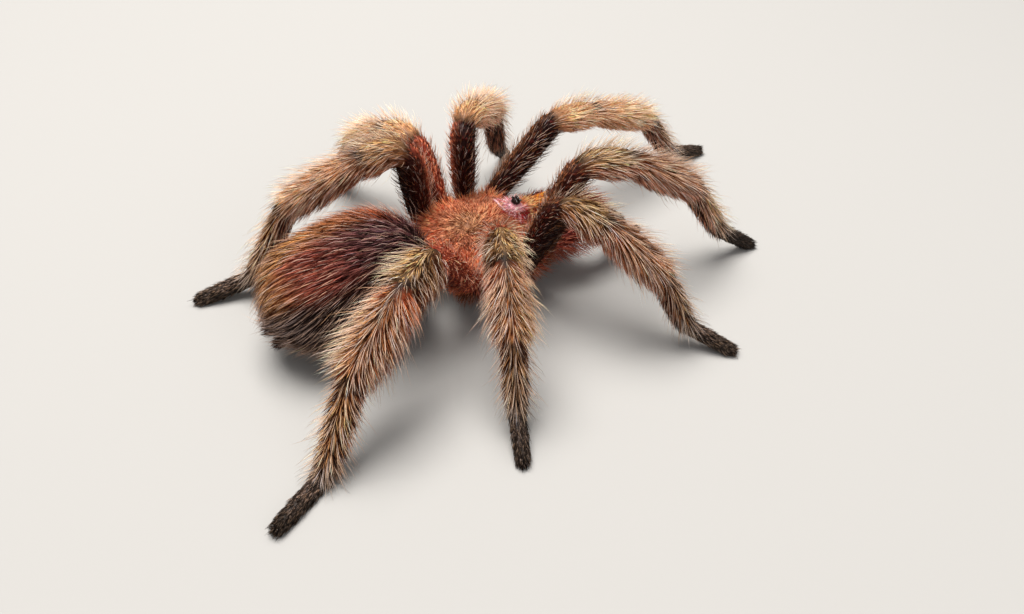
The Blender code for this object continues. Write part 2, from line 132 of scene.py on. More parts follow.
CHELICERA_APART = 2.15
CHELICERA_RIBS = (
    ((9.5, 10.6), (9.5, 5.0), 1.75),
    ((11.4, 11.2), (10.8, 4.5), 1.9),
    ((13.4, 10.9), (12.0, 4.0), 1.9),
    ((15.2, 9.6), (12.9, 3.6), 1.85),
    ((16.3, 7.4), (13.5, 3.3), 1.75),
    ((16.5, 5.2), (14.0, 3.1), 1.5),
    ((16.1, 3.7), (14.5, 3.0), 1.1),
)
FANG_ROOT = (15.3, 2.0, 2.75)
FANG_LENGTH = 3.9
FANG_RADIUS = 0.75
FANG_START = -122.0
FANG_CURL = 55.0
SPINNERET_APART = 1.5
SPINNERET_START = -12.0
SPINNERET_HEIGHT = 5.3
SPINNERET_LENGTH = 4.2
SPINNERET_RADIUS = 0.85

# ---- the skin inside the solids ------------------------------------------------------------------
# Skin radius of each limb segment at its start, middle and end.
SKIN_RADII = {
    "coxa": (1.75, 1.8, 1.6),
    "femur": (1.55, 2.0, 1.95),
    "patella": (1.95, 2.15, 2.0),
    "tibia": (1.95, 2.1, 1.75),
    "metatarsus": (1.7, 1.42, 1.22),
    "tarsus": (1.22, 1.2, 1.0),
}
ABDOMEN_COAT = 2.1
CARAPACE_COAT = 0.4
CHELICERA_COAT = 0.55
VOXEL = 0.33
FLOOR_CLEARANCE = 0.015


# ---- small tools ---------------------------------------------------------------------------------
def unit(vectors):
    length = np.linalg.norm(vectors, axis=-1, keepdims=True)
    return vectors / np.maximum(length, 1e-9)


def dot(a, b):
    return np.sum(a * b, axis=-1, keepdims=True)


def place(ahead, left, up):
    """Spider directions to scene directions, in millimetres. Numbers or arrays."""
    ahead, left, up = np.broadcast_arrays(ahead, left, up)
    return np.stack([left, -ahead, up], axis=-1).astype(float)


def direction(heading, lift):
    heading, lift = math.radians(heading), math.radians(lift)
    level = math.cos(lift)
    return place(level * math.cos(heading), level * math.sin(heading), math.sin(lift))


def smooth(low_end, high_end, value):
    t = np.clip((value - low_end) / (high_end - low_end), 0, 1)
    return t * t * (3 - 2 * t)


def mix(a, b, share):
    share = np.asarray(share)[..., None]
    return a * (1 - share) + b * share


def bump(value, centre, width):
    return np.exp(-(((value - centre) / width) ** 2))


def through_three(values, t):
    start, middle, end = values
    return start * (2 * t - 1) * (t - 1) + middle * 4 * t * (1 - t) + end * t * (2 * t - 1)


def signed_power(value, power):
    return np.sign(value) * np.abs(value) ** power


def colour(red, green, blue):
    """A colour given as 0 to 255 screen values, as linear light."""
    shares = np.array([red, green, blue], float) / 255
    return np.where(shares <= 0.04045, shares / 12.92, ((shares + 0.055) / 1.055) ** 2.4)


CREAM = colour(255, 208, 154)
WHITE = colour(250, 232, 214)
GOLD = colour(255, 192, 108)
AMBER = colour(255, 158, 52)
TAN = colour(242, 168, 112)
PINK_TAN = colour(240, 160, 126)
ORANGE = colour(244, 136, 80)
RUST = colour(178, 78, 48)
RED = colour(186, 62, 48)
CRIMSON = colour(150, 24, 40)
PINK = colour(255, 184, 196)
SALMON = colour(255, 172, 134)
MAROON = colour(122, 44, 38)
PURPLE_BROWN = colour(112, 78, 84)
BROWN = colour(110, 62, 34)
GAP = colour(66, 24, 8)
GREY_BROWN = colour(176, 146, 128)
DARK_BROWN = colour(62, 32, 24)
DARK = colour(24, 10, 9)
CHARCOAL = colour(42, 32, 28)
SLATE_SHEEN = colour(104, 88, 76)

# Each limb's own look, with painted light: (red of the femur, red of its crest, paleness beyond the
# knee, painted light that makes the left legs paler, strength of the dark side lines, which above 1
# also paints shade on the sides, how far the hair fans out from the limb, the crest's place round
# the femur in degrees, with 90 on top, brightness of the metatarsus and brightness of the tarsus,
# both painted light and shade that differ from leg to leg, the side that is golden beyond the knee,
# painted light with painted shade on its other side: 1 for the side towards 0 degrees and -1 for
# the other).
LIMB_LOOKS_AND_LIGHT = {
    "leg_right_1": (0.1, 0.15, 0.0, 1.1, 0.4, 90, 1.5, 0.45, 0.0),
    "leg_right_2": (0.05, 0.1, 0.0, 1.2, 0.8, 90, 0.7, 1.4, 0.3),
    "leg_right_3": (0.9, 0.9, 0.0, 1.0, 0.7, 90, 0.75, 0.9, 1.0),
    "leg_right_4": (1.0, 1.0, 0.0, 1.1, 1.3, 90, 1.0, 0.9, -1.0),
    "leg_left_1": (0.0, 0.1, 1.0, 0.15, 0.12, 70, 1.0, 1.0, 0.0),
    "leg_left_2": (0.0, 0.8, 0.8, 0.4, 0.5, 36, 1.0, 1.0, 0.0),
    "leg_left_3": (0.1, 1.0, 0.9, 1.4, 0.35, 90, 0.9, 1.0, 0.0),
    "leg_left_4": (0.1, 1.0, 0.3, 1.7, 0.3, 90, 0.9, 1.4, 0.0),
    "palp_right": (1.0, 1.0, 0.0, 0.0, 0.6, 90, 1.0, 1.0, 0.0),
    "palp_left": (0.8, 1.0, 0.0, 0.0, 0.6, 90, 1.0, 1.0, 0.0),
}


# ---- meshes --------------------------------------------------------------------------------------
def linked(name, data):
    made = bpy.data.objects.new(name, data)
    SCENE.collection.objects.link(made)
    return made


def finished_mesh(name, points, faces, colours=None, uvs=None, smooth_faces=True):
    """A mesh object from lists of arrays: millimetre points, same-sized faces and what they carry."""
    points, faces = np.concatenate(points) * MM + SHIFT, np.concatenate(faces)
    count, sides = faces.shape
    mesh = bpy.data.meshes.new(name)
    mesh.vertices.add(len(points))
    mesh.vertices.foreach_set("co", points.astype(np.float32).ravel())
    mesh.loops.add(count * sides)
    mesh.loops.foreach_set("vertex_index", faces.astype(np.int32).ravel())
    mesh.polygons.add(count)
    mesh.polygons.foreach_set("loop_start", np.arange(0, count * sides, sides, dtype=np.int32))
    mesh.polygons.foreach_set("use_smooth", np.full(count, smooth_faces))
    if uvs is not None:
        layer = mesh.uv_layers.new(name="OFBake")
        layer.uv.foreach_set("vector", np.concatenate(uvs)[faces.ravel()].astype(np.float32).ravel())
    mesh.update(calc_edges=True)
    if colours is not None:
        paint(mesh, np.concatenate(colours))
    return linked(name, mesh)


def paint(mesh, colours):
    """Keeps a colour at each vertex, for the material to read."""
    layer = mesh.color_attributes.new("markings", "FLOAT_COLOR", "POINT")
    with_alpha = np.ones((len(mesh.vertices), 4), np.float32)
    with_alpha[:, :3] = colours
    layer.data.foreach_set("color", with_alpha.ravel())


def turned_out(made):
    """Makes every closed shell of the mesh face outward."""
    work = bmesh.new()
    work.from_mesh(made.data)
    bmesh.ops.recalc_face_normals(work, faces=work.faces)
    work.to_mesh(made.data)
    work.free()
    return made


def circle(sides):
    return np.linspace(0, TURN, sides, endpoint=False)


class Tubes:
    """Closed tubes gathered for one mesh, with the colours of their points."""

    def __init__(self):
        self.points, self.faces, self.colours, self.count = [], [], [], 0

    def add(self, rings, colours=0.0):
        """Adds a tube through rings of points (rows, sides, 3), closed by a tip at each end."""
        rows, sides, _ = rings.shape
        j = np.arange(sides)
        k = (j + 1) % sides
        i = np.arange(rows - 1)[:, None] * sides
        quads = np.stack([i + j, i + k, i + sides + k, i + sides + j], axis=-1).reshape(-1, 4)
        last, tip = (rows - 1) * sides, np.full(sides, rows * sides)
        first_fan = np.stack([k, j, tip], axis=-1)
        last_fan = np.stack([last + j, last + k, tip + 1], axis=-1)
        triangles = [quads[:, [0, 1, 2]], quads[:, [0, 2, 3]], first_fan, last_fan]
        self.faces.append(np.concatenate(triangles) + self.count)
        self.count += rows * sides + 2
        for kept, values in ((self.points, rings), (self.colours, np.broadcast_to(colours, rings.shape))):
            tips = np.stack([values[0].mean(axis=0), values[-1].mean(axis=0)])
            kept.append(np.concatenate([values.reshape(-1, 3), tips]))


# ---- limbs ---------------------------------------------------------------------------------------
def read_rows(at, grid, rows):
    """Rows of three numbers, given at the places of a grid, read at other places."""
    return np.stack([np.interp(at, grid, rows[:, i]) for i in range(3)], axis=-1)


def blur(values, width):
    """Gaussian blur along a row of samples, with its ends held."""
    reach = int(3 * width) + 1
    kernel = np.exp(-0.5 * (np.arange(-reach, reach + 1) / width) ** 2)
    padded = np.pad(values, reach, mode="edge")
    return np.convolve(padded, kernel / kernel.sum(), mode="valid")


class Limb:
    """The middle line of a leg or palp, with the frame round it and the radius of its skin."""

    STEP = 0.25

    def __init__(self, name, parts, joints, side, girth):
        self.name, self.parts, self.side, self.girth = name, parts, side, girth
        self.is_palp = name.startswith("palp")
        joints[-1] = joints[-1] + unit(joints[-1] - joints[-2]) * (0.85 * girth)
        points, marks = [joints[0]], [0]
        for before, corner, after in zip(joints, joints[1:], joints[2:]):
            self.round_corner(points, marks, before, corner, after)
        points = np.array(points + [joints[-1]])
        marks.append(len(points) - 1)
        along = np.concatenate([[0], np.cumsum(np.linalg.norm(np.diff(points, axis=0), axis=1))])
        self.cuts, self.length = along[marks], along[-1]
        self.grid = np.arange(0, self.length, self.STEP)
        self.line = read_rows(self.grid, along, points)
        way = unit(np.gradient(self.line, axis=0))
        self.way = unit(np.stack([blur(way[:, i], 1.5) for i in range(3)], axis=-1))
        self.radius = self.skin_radius()

    @staticmethod
    def round_corner(points, marks, before, corner, after):
        """Adds an arc at a joint, and marks its middle as the cut between two segments."""
        start_way, end_way = unit(corner - before), unit(after - corner)
        cosine = float(np.clip(start_way @ end_way, -1, 1))
        half_turn = math.tan(math.acos(cosine) / 2)
        room = 0.48 * min(np.linalg.norm(corner - before), np.linalg.norm(after - corner))
        reach = min(BEND_RADIUS * half_turn, room)
        radius = reach / max(half_turn, 1e-6)
        inward = unit(end_way - start_way * cosine)
        start = corner - start_way * reach
        for share in np.linspace(0, 1, 13):
            turned = math.acos(cosine) * share
            outward = inward * radius * (1 - math.cos(turned))
            points.append(start + start_way * radius * math.sin(turned) + outward)
            if share == 0.5:
                marks.append(len(points) - 1)

    def skin_radius(self):
        radius = np.zeros_like(self.grid)
        for part, start, end in zip(self.parts, self.cuts, self.cuts[1:]):
            inside = (self.grid >= start) & (self.grid <= end)
            radius[inside] = through_three(SKIN_RADII[part], (self.grid[inside] - start) / (end - start))
        radius = blur(radius, 2.0)
        for mark in self.cuts[2:-1]:
            radius *= 1 - 0.13 * bump(self.grid, mark, 0.45)
        left = np.clip((self.length - self.grid) / (1.15 * self.girth), 0.02, 1)
        return radius * self.girth * np.sqrt(1 - (1 - left) ** 2)

    def part_at(self, along):
        """Number of the segment at a length along the limb, and the share of it passed."""
        number = np.clip(np.searchsorted(self.cuts, along, side="right") - 1, 0, len(self.parts) - 1)
        start, end = self.cuts[number], self.cuts[number + 1]
        return number, (along - start) / (end - start)

    def frame_at(self, along):
        point, way = read_rows(along, self.grid, self.line), unit(read_rows(along, self.grid, self.way))
        across = unit(self.side - way * (way @ self.side)[..., None])
        return point, way, across, np.cross(way, across)

    def surface(self, along, angle):
        """Skin point, outward direction, and the directions along and round the limb."""
        point, way, across, upward = self.frame_at(along)
        radius = np.interp(along, self.grid, self.radius)
        c, s = np.cos(angle)[..., None], np.sin(angle)[..., None]
        skin = point + (across * c + upward * (s * TALLNESS)) * radius[..., None]
        return skin, across * c + upward * s, way, -across * s + upward * c


def limb_joints(root, base, headings, lifts, lengths, tip_height):
    joints = [root, base]
    for heading, lift, length in zip(headings, lifts, lengths):
        joints.append(joints[-1] + direction(heading, lift) * length)
    drop = (tip_height - joints[-1][2]) / lengths[-1]
    last_lift = math.degrees(math.asin(max(-0.95, min(0.5, drop))))
    joints.append(joints[-1] + direction(headings[-1], last_lift) * lengths[-1])
    return joints


def all_limbs():
    def on_side(name, ahead, out, up):
        return place(ahead, out if name.startswith("left") else -out, up)

    limbs = []
    for name, (pair, heading, lifts) in LEG_POSES.items():
        root = on_side(name, *COXA_ROOTS[pair], COXA_ROOT_HEIGHT)
        base = on_side(name, *LEG_BASES[pair], LEG_BASE_HEIGHT)
        joints = limb_joints(root, base, (heading,) * 5, lifts, SEGMENT_LENGTHS[pair], LEG_TIP_HEIGHT)
        limbs.append(Limb(f"leg_{name}", LEG_PARTS, joints, direction(heading + 90, 0), LEG_GIRTH[pair]))
    for name, (headings, lifts) in PALP_POSES.items():
        root, base = on_side(name, *PALP_ROOT), on_side(name, *PALP_BASE)
        joints = limb_joints(root, base, headings, lifts, PALP_LENGTHS, PALP_TIP_HEIGHT)
        limbs.append(Limb(f"palp_{name}", PALP_PARTS, joints, direction(headings[1] + 90, 0), PALP_GIRTH))
    return limbs


# ---- body surfaces: each gives skin points from u and v ------------------------------------------
def carapace_edge(angle):
    ahead, left = signed_power(np.cos(angle), 0.86), signed_power(np.sin(angle), 0.9)
    return CARAPACE_LENGTH / 2 * ahead, CARAPACE_WIDTH / 2 * left * (1 - 0.08 * np.cos(angle))


def carapace_grooves(ahead, left, width, near, end):
    """How far a place is in the grooves that run from the dimple to the edge, four on each side."""
    far = np.hypot(left, ahead - DIMPLE_AHEAD)
    spoke = np.degrees(np.arctan2(np.abs(left), ahead - DIMPLE_AHEAD))
    depth = sum(bump(spoke, turn, width) for turn in (38, 82, 118, 150))
    return depth * smooth(1.0, near, far) * smooth(end, 5.0, far)


def carapace_height(ahead, left, share):
    dome = 0.62 * CARAPACE_RISE * np.sqrt(np.maximum(0.0, 1 - share**2.2))
    head = bump(ahead, 4.2, 4.6) * bump(left, 0, 3.6)
    dimple = bump(ahead, DIMPLE_AHEAD, 1.1) * bump(left, 0, 1.5)
    height = CARAPACE_FLOOR + CARAPACE_RIM + dome + 0.46 * CARAPACE_RISE * head * (1 - share**4)
    height = height - 0.9 * dimple - 0.16 * carapace_grooves(ahead, left, 6, 3.0, 9.0)
    seat = np.hypot(ahead - EYE_MOUND_PLACE[0], left - EYE_MOUND_PLACE[1])
    blend = np.clip((seat - 1.7) / 1.2, 0, 1)
    return EYE_SEAT * (1 - blend) + height * blend


def carapace_surface(u, v):
    """v is 0 in the middle of the back and 1 at the rim."""
    ahead, left = (edge * v * 0.965 for edge in carapace_edge(TURN * u))
    return place(ahead, left, carapace_height(ahead, left, v) - CARAPACE_COAT)


def on_abdomen(ahead, left, up):
    """A place given along and across the abdomen, which is turned a little."""
    c, s = math.cos(math.radians(ABDOMEN_TURN)), math.sin(math.radians(ABDOMEN_TURN))
    return place(ABDOMEN_CENTRE[0] + ahead * c - left * s, ABDOMEN_CENTRE[1] + ahead * s + left * c, up)


def abdomen_surface(u, v):
    """v runs from 0 at the waist to 1 at the rear."""
    half_length, half_width, half_height = (half - ABDOMEN_COAT for half in ABDOMEN_HALF)
    circles = np.cos(math.pi * v), np.sin(math.pi * v), np.cos(TURN * u), np.sin(TURN * u)
    along, share, across, rise = (signed_power(value, ABDOMEN_SQUARENESS) for value in circles)
    up = ABDOMEN_CENTRE[2] + half_height * share * rise
    return on_abdomen(half_length * along, half_width * share * across, up)


def chelicera_surface(outward):
    """v runs from 0 at the head to 1 at the fang."""
    stations = np.linspace(0, 1, len(CHELICERA_RIBS))
    ribs = np.array([(*upper, *lower, width) for upper, lower, width in CHELICERA_RIBS]).T

    def surface(u, v):
        upper_ahead, upper_up, lower_ahead, lower_up, width = (np.interp(v, stations, row) for row in ribs)
        middle = place((upper_ahead + lower_ahead) / 2, 0, (upper_up + lower_up) / 2)
        rise = place((upper_ahead - lower_ahead) / 2, 0, (upper_up - lower_up) / 2)
        tall = np.linalg.norm(rise, axis=-1, keepdims=True)
        rise = rise * (tall - CHELICERA_COAT) / tall
        c, s = signed_power(np.cos(TURN * u), 0.9), signed_power(np.sin(TURN * u), 0.9)
        left = place(0, outward * (CHELICERA_APART + (width - CHELICERA_COAT) * c), 0)
        return middle + left + rise * s[..., None]

    return surface


def sternum_surface(u, v):
    """v runs from 0 at the top edge to 1 in the middle of the belly side."""
    stations = [0, 0.2, 0.5, 0.75, 1.0]
    shares = np.interp(v, stations, [0.95, 0.97, 0.92, 0.6, 0.02])
    height = np.interp(v, stations, [8.1, 7.0, 5.1, 4.2, 4.0])
    ahead = STERNUM_HALF[0] * shares * np.cos(TURN * u) + 0.2
    return place(ahead, STERNUM_HALF[1] * shares * np.sin(TURN * u), height)


def spinneret_surface(outward):
    """v runs from 0 inside the abdomen to 1 at the tip."""
    stations = (-1, 0.5, 0.6, 0.66, 0.78, 0.82, 0.94, 1.0)
    girths = (1.0, 0.92, 0.85, 0.74, 0.76, 0.58, 0.5, 0.15)

    def surface(u, v):
        v = v * 1.5 - 0.85
        radius = SPINNERET_RADIUS * np.interp(v, stations, girths)
        left = outward * SPINNERET_APART * (1 + 0.25 * v)
        ahead = SPINNERET_START - SPINNERET_LENGTH * 0.97 * v
        middle = on_abdomen(ahead, left, SPINNERET_HEIGHT + 0.5 * v)
        return middle + place(0, radius * np.cos(TURN * u), radius * np.sin(TURN * u))

    return surface


def surface_frame(surface, u, v):
    """Point, outward direction and the direction of growing v on a body surface."""
    step = 2e-3
    point = surface(u, v)
    along = unit(surface(u, np.clip(v + step, 0, 1)) - surface(u, np.clip(v - step, 0, 1)))
    around = unit(surface(u + step, v) - surface(u - step, v))
    outward = unit(np.cross(around, along))
    if np.median(dot(outward, point - surface(u + 0.5, v))) < 0:
        outward = -outward
    return point, outward, along


# ---- markings, read by the skin and by the coat --------------------------------------------------
# The marks of a body surface are read at (u, v, point), and each needs only some of them.


def over(marks, root, tip, share, tip_share=None):
    """Marks with two other colours laid over them by a share."""
    return mix(marks[0], root, share), mix(marks[1], tip, share if tip_share is None else tip_share)


def off_degrees(cosine):
    return np.degrees(np.arccos(np.clip(cosine, -1, 1)))


def femur_marks(looks_and_light, t, angle, under):
    warmth, crest_red, _, _, _, crest_place = looks_and_light[:6]
    fiery = mix(mix(RED, ORANGE, 0.6), PINK_TAN, 0.45 * warmth) * (1 + 0.25 * warmth)
    warm = np.clip((smooth(0.15 + 0.35 * warmth, 0.02, t) + warmth) * (1 - 0.4 * under), 0, 1)
    off_crest = off_degrees(np.cos(angle - math.radians(crest_place)))
    crest = 0.9 * bump(off_crest, 0, 18 + 16 * crest_red)
    root = mix(DARK, RED * 0.55, np.maximum(warm, crest * crest_red))
    tip = mix(MAROON * 0.45, fiery, warm)
    tip = mix(tip, mix(TAN * 0.6, mix(fiery, PINK_TAN, 0.25) * 1.1, crest_red), crest)
    return root, mix(tip, DARK, 0.8 * (1 - warm) * smooth(0.2, -0.3, np.sin(angle)))


def knee_marks(marks, looks_and_light, part, t, angle, high, under):
    """The patella's or tibia's marks with dark lines, painted paleness, a golden side painted as lit,
    the other side painted brown as shade, and painted shade on the sides for strong lines.
    """
    _, _, paleness, line_strength, _, _, _, _, painted_light_side = looks_and_light
    off_top = off_degrees(np.sin(angle))
    lines = bump(off_top, 40, 8) + 0.8 * bump(off_top, 74, 8)
    shade = 1 - min(0.55 * line_strength, 0.7) * lines * smooth(0.02, 0.2, t)
    # Lines stronger than 1 also darken the sides: painted shade.
    shade = shade * (1 - max(line_strength - 1, 0) * 0.8 * bump(off_top, 78, 28))
    if part == "patella":
        shade = shade * (1 - min(0.6 * line_strength, 0.7) * bump(off_top, 20, 5))
    else:
        shade = shade * (1 - 0.9 * min(line_strength, 1.0) * bump(off_top, 0, 12) * smooth(1.0, 0.6, t))
    shade = shade[..., None]
    root, tip = marks[0] * shade, marks[1] * (0.35 + 0.65 * shade)
    # Painted light and shade: one side's tips are made golden as lit, the other side's brown.
    toward_painted_light = np.cos(angle) * painted_light_side
    amount = (0.7 if part == "patella" else 0.4) * (1 - under)
    tip = mix(tip, mix(CREAM, GOLD, 0.6) * 1.1, amount * smooth(0.0, 0.5, toward_painted_light))
    tip = mix(tip, BROWN, amount * smooth(0.0, -0.5, toward_painted_light))
    # Painted light: paleness makes the tips paler, most on top and least below.
    painted_light_tip = mix(mix(TAN, PINK_TAN, 0.4), CREAM, 0.25) * 1.7
    painted_light_share = paleness * (0.5 + 0.45 * high - 0.3 * under)
    return over((root, tip), TAN * 0.45, painted_light_tip, paleness, painted_light_share)


def joint_marks(marks, looks_and_light, part, t, angle, high, under):
    """Marks beyond the femur with dark joints, and red beside the tibia's start on a red leg."""
    knee = bump(t, 0.0, 0.1) * high
    if part == "patella":
        knee = np.maximum(knee, bump(t, 1.0, 0.12) * high)
    marks = over(marks, DARK, DARK, knee, 0.8 * knee)
    # Less red beside the tibia's start on legs whose paleness is painted light.
    beside = bump(t, 0.1, 0.13) * bump(off_degrees(np.sin(angle)), 58, 28) * (1 - under) * (1 - looks_and_light[2])
    beside = beside * (0.15 + 0.75 * smooth(0.8, 1.0, looks_and_light[0]) * (part == "tibia"))
    return over(marks, RUST * 0.8, mix(RED, ORANGE, 0.75) * 1.4, beside)


def limb_marks(limb, part, t, angle):
    """Marks at a share t of a limb's segment."""
    looks_and_light = LIMB_LOOKS_AND_LIGHT[limb.name]
    high, under = smooth(0.0, 0.8, np.sin(angle)), smooth(0.2, 0.9, -np.sin(angle))
    if part == "coxa":
        tip = mix(mix(RED, PINK_TAN, 0.5) * 1.5, mix(ORANGE, PINK_TAN, 0.4) * 1.3, high)
        marks = over((mix(RED, RUST, 0.6) * 1.1, tip), DARK_BROWN, PINK_TAN * 0.4, under)
    elif part == "femur":
        marks = femur_marks(looks_and_light, t, angle, under)
    elif part == "patella":
        marks = mix(mix(GAP, RUST, 0.15), BROWN * 0.45, high), mix(PINK_TAN, mix(CREAM, GOLD, 0.35), high)
        marks = over(marks, GAP, PINK_TAN * 0.8, under)
    elif part == "tibia":
        marks = mix(GAP, RUST, 0.15), mix(PINK_TAN * 0.95, mix(TAN, ORANGE, 0.15), high)
        marks = over(marks, DARK_BROWN, PINK_TAN * 0.75, under)
    elif part == "metatarsus":
        marks = mix(GAP * 0.6, DARK, under), mix(PINK_TAN * 0.75, mix(TAN, CREAM, 0.3), high)
        root, tip = over(marks, CHARCOAL, GREY_BROWN * 0.75, smooth(0.55, 1.0, t))
        # Painted light and shade: each leg's metatarsus tips are made lighter or darker.
        marks = root, tip * looks_and_light[6]
    else:
        # Painted sheen: slate grey on the lower side and towards the end, grey-brown on top near the start.
        tip = mix(SLATE_SHEEN * 1.2, GREY_BROWN * 0.8, high * smooth(0.9, 0.2, t))
        # Painted light and shade: each leg's tarsus tips are made lighter or darker.
        marks = CHARCOAL * 0.45, tip * looks_and_light[7]
    if limb.is_palp and part != "tarsus":
        maroon, dusty = mix(CRIMSON, MAROON, 0.5) * 0.5, mix(mix(CRIMSON, RED, 0.4), PINK_TAN, 0.5) * 0.75
        marks = over(marks, maroon, dusty, 0.8, 0.9)
    if part in ("patella", "tibia"):
        marks = knee_marks(marks, looks_and_light, part, t, angle, high, under)
    if part in ("patella", "tibia", "metatarsus"):
        marks = joint_marks(marks, looks_and_light, part, t, angle, high, under)
    return tuple(np.broadcast_to(mark, np.shape(t) + (3,)) for mark in marks)


def carapace_marks(u, v, point):
    """Marks on the carapace, from the place seen from above."""
    ahead, left = -point[..., 1], point[..., 0]
    side, far = np.abs(left), np.hypot(ahead - DIMPLE_AHEAD, left)
    root = mix(RUST * 0.6, BROWN * 0.5, smooth(4.0, 0.8, far) * 0.75)
    marks = root, mix(mix(SALMON, TAN, 0.25) * 0.88, CREAM, smooth(4.5, 1.0, far) * 0.35)
    rim = smooth(5.5, 8.2, np.hypot(ahead * 0.9, left))
    marks = over(marks, mix(RED, RUST, 0.6) * 1.2, mix(ORANGE, PINK_TAN, 0.35) * 1.25, rim, 0.7 * rim)
    grooves = carapace_grooves(ahead, left, 9, 2.5, 8.0)
    marks = over(marks, DARK_BROWN, RUST, 0.6 * grooves, 0.5 * grooves)
    from_eyes = np.hypot(ahead - 6.0, side * 1.05)
    crimson = bump(from_eyes, 2.7, 0.75) * smooth(0.7, 1.5, side)
    marks = over(marks, CRIMSON, mix(CRIMSON, RED, 0.6), crimson)
    marks = over(marks, RUST, mix(GOLD, CREAM, 0.4), smooth(7.5, 8.2, ahead) * smooth(4.6, 3.4, side))
    strands = 0.5 + 0.5 * np.sin(11 * np.arctan2(left, ahead - 6.6))
    root, tip = mix(PINK * 0.6, CRIMSON, 0.4 - 0.4 * strands), mix(PINK, WHITE, 0.6 * strands) * 1.25
    return over(marks, root, tip, smooth(2.3, 1.5, from_eyes))


def abdomen_marks(u, v, point):
    """Marks on the abdomen: dark in front and below, maroon on the right, gold at the rear, and gold
    over the left side as painted light; the dark below reaches higher on the right as painted shade.
    """
    height, leftward = np.sin(TURN * u), np.cos(TURN * u)
    top = smooth(0.35, 0.8, height) * smooth(0.62, 0.4, v)
    front = np.maximum(smooth(0.42, 0.2, v), top)
    marks = MAROON * 0.4, mix(MAROON, PINK_TAN, 0.35) * [1.05, 0.85, 0.9]
    marks = over(marks, DARK, PURPLE_BROWN, front, 0.85 * front)
    rear = smooth(0.64, 0.85, v) * smooth(0.3, 0.75, height)
    # Gold at the rear, and over the left side as painted light.
    rear_gold_and_lit_side = np.maximum(rear, smooth(0.0, 0.35, leftward) * smooth(0.1, 0.25, v))
    golden = mix(mix(RUST, ORANGE, 0.3), mix(TAN, GOLD, 0.3) * 0.75, smooth(0.2, 0.7, v))
    marks = over(marks, GAP, golden, rear_gold_and_lit_side)
    # The belly's dark reaches higher up the right side: painted shade.
    painted_shade_rise = 0.3 * smooth(0.2, -0.5, leftward)
    below = smooth(0.55 + painted_shade_rise, 0.1 + 1.3 * painted_shade_rise, height) * smooth(1.35, 1.0, v + 0.3 * height)
    return over(marks, DARK, mix(GREY_BROWN, PURPLE_BROWN, 0.5) * 0.15, below)


def chelicera_marks(u, v, point):
    high = smooth(0.3, 0.95, np.sin(TURN * u))
    tip = mix(RED * 1.2, AMBER, high)
    tip = mix(tip, mix(GOLD, CREAM, 0.5), smooth(0.25, 0.1, v) * high)
    return mix(RED * 0.6, RUST, high), mix(tip, RUST, smooth(0.7, 1.0, v))


# ---- the coat ------------------------------------------------------------------------------------
# A hair's shape by its number of bends: its triangles, the shares of its length between its rings,
# the rings' widths, each point's share of the way from the root's colour to the tip's, and each
# point's place across its tuft's patch.
HAIR_SHAPES = {
    1: (
        [[2, 1, 0], [3, 2, 0], [1, 3, 0], [1, 2, 4], [2, 3, 4], [3, 1, 4]],
        (0.42, 0.58),
        (1.0,),
        [0, 0.7, 0.7, 0.7, 1],
        [0, -1, 0, 1, 0],
    ),
    2: (
        [[2, 1, 0], [3, 2, 0], [1, 3, 0]]
        + [[1, 2, 5], [1, 5, 4], [2, 3, 6], [2, 6, 5], [3, 1, 4], [3, 4, 6]]
        + [[4, 5, 7], [5, 6, 7], [6, 4, 7]],
        (0.3, 0.36, 0.34),
        (1.0, 0.62),
        [0, 0.5, 0.5, 0.5, 0.95, 0.95, 0.95, 1],
        [0, -1, 0, 1, -1, 0, 1, 0],
    ),
}
PATCH = 0.0015  # half the width of a tuft's patch on the unwrap
UNWRAP_MARGIN = 0.003
SUNK = 0.12  # how deep a hair starts under the skin
WILD = 0.06  # how far a hair strays from the lie of the coat
FLATNESS = 0.8  # a hair's thickness beside its width
GATHER = 0.4  # how far the hairs of a tuft draw together towards their tips
TUFT_TONE = 0.22  # how much lighter or darker a tuft may be
HAIR_TONE = 0.2  # the same for a hair in it
WARMTH = 0.1  # how much redder or bluer a tip may be
ROOT_REACH = 0.42  # how far from the skin a root may be before it is moved onto it


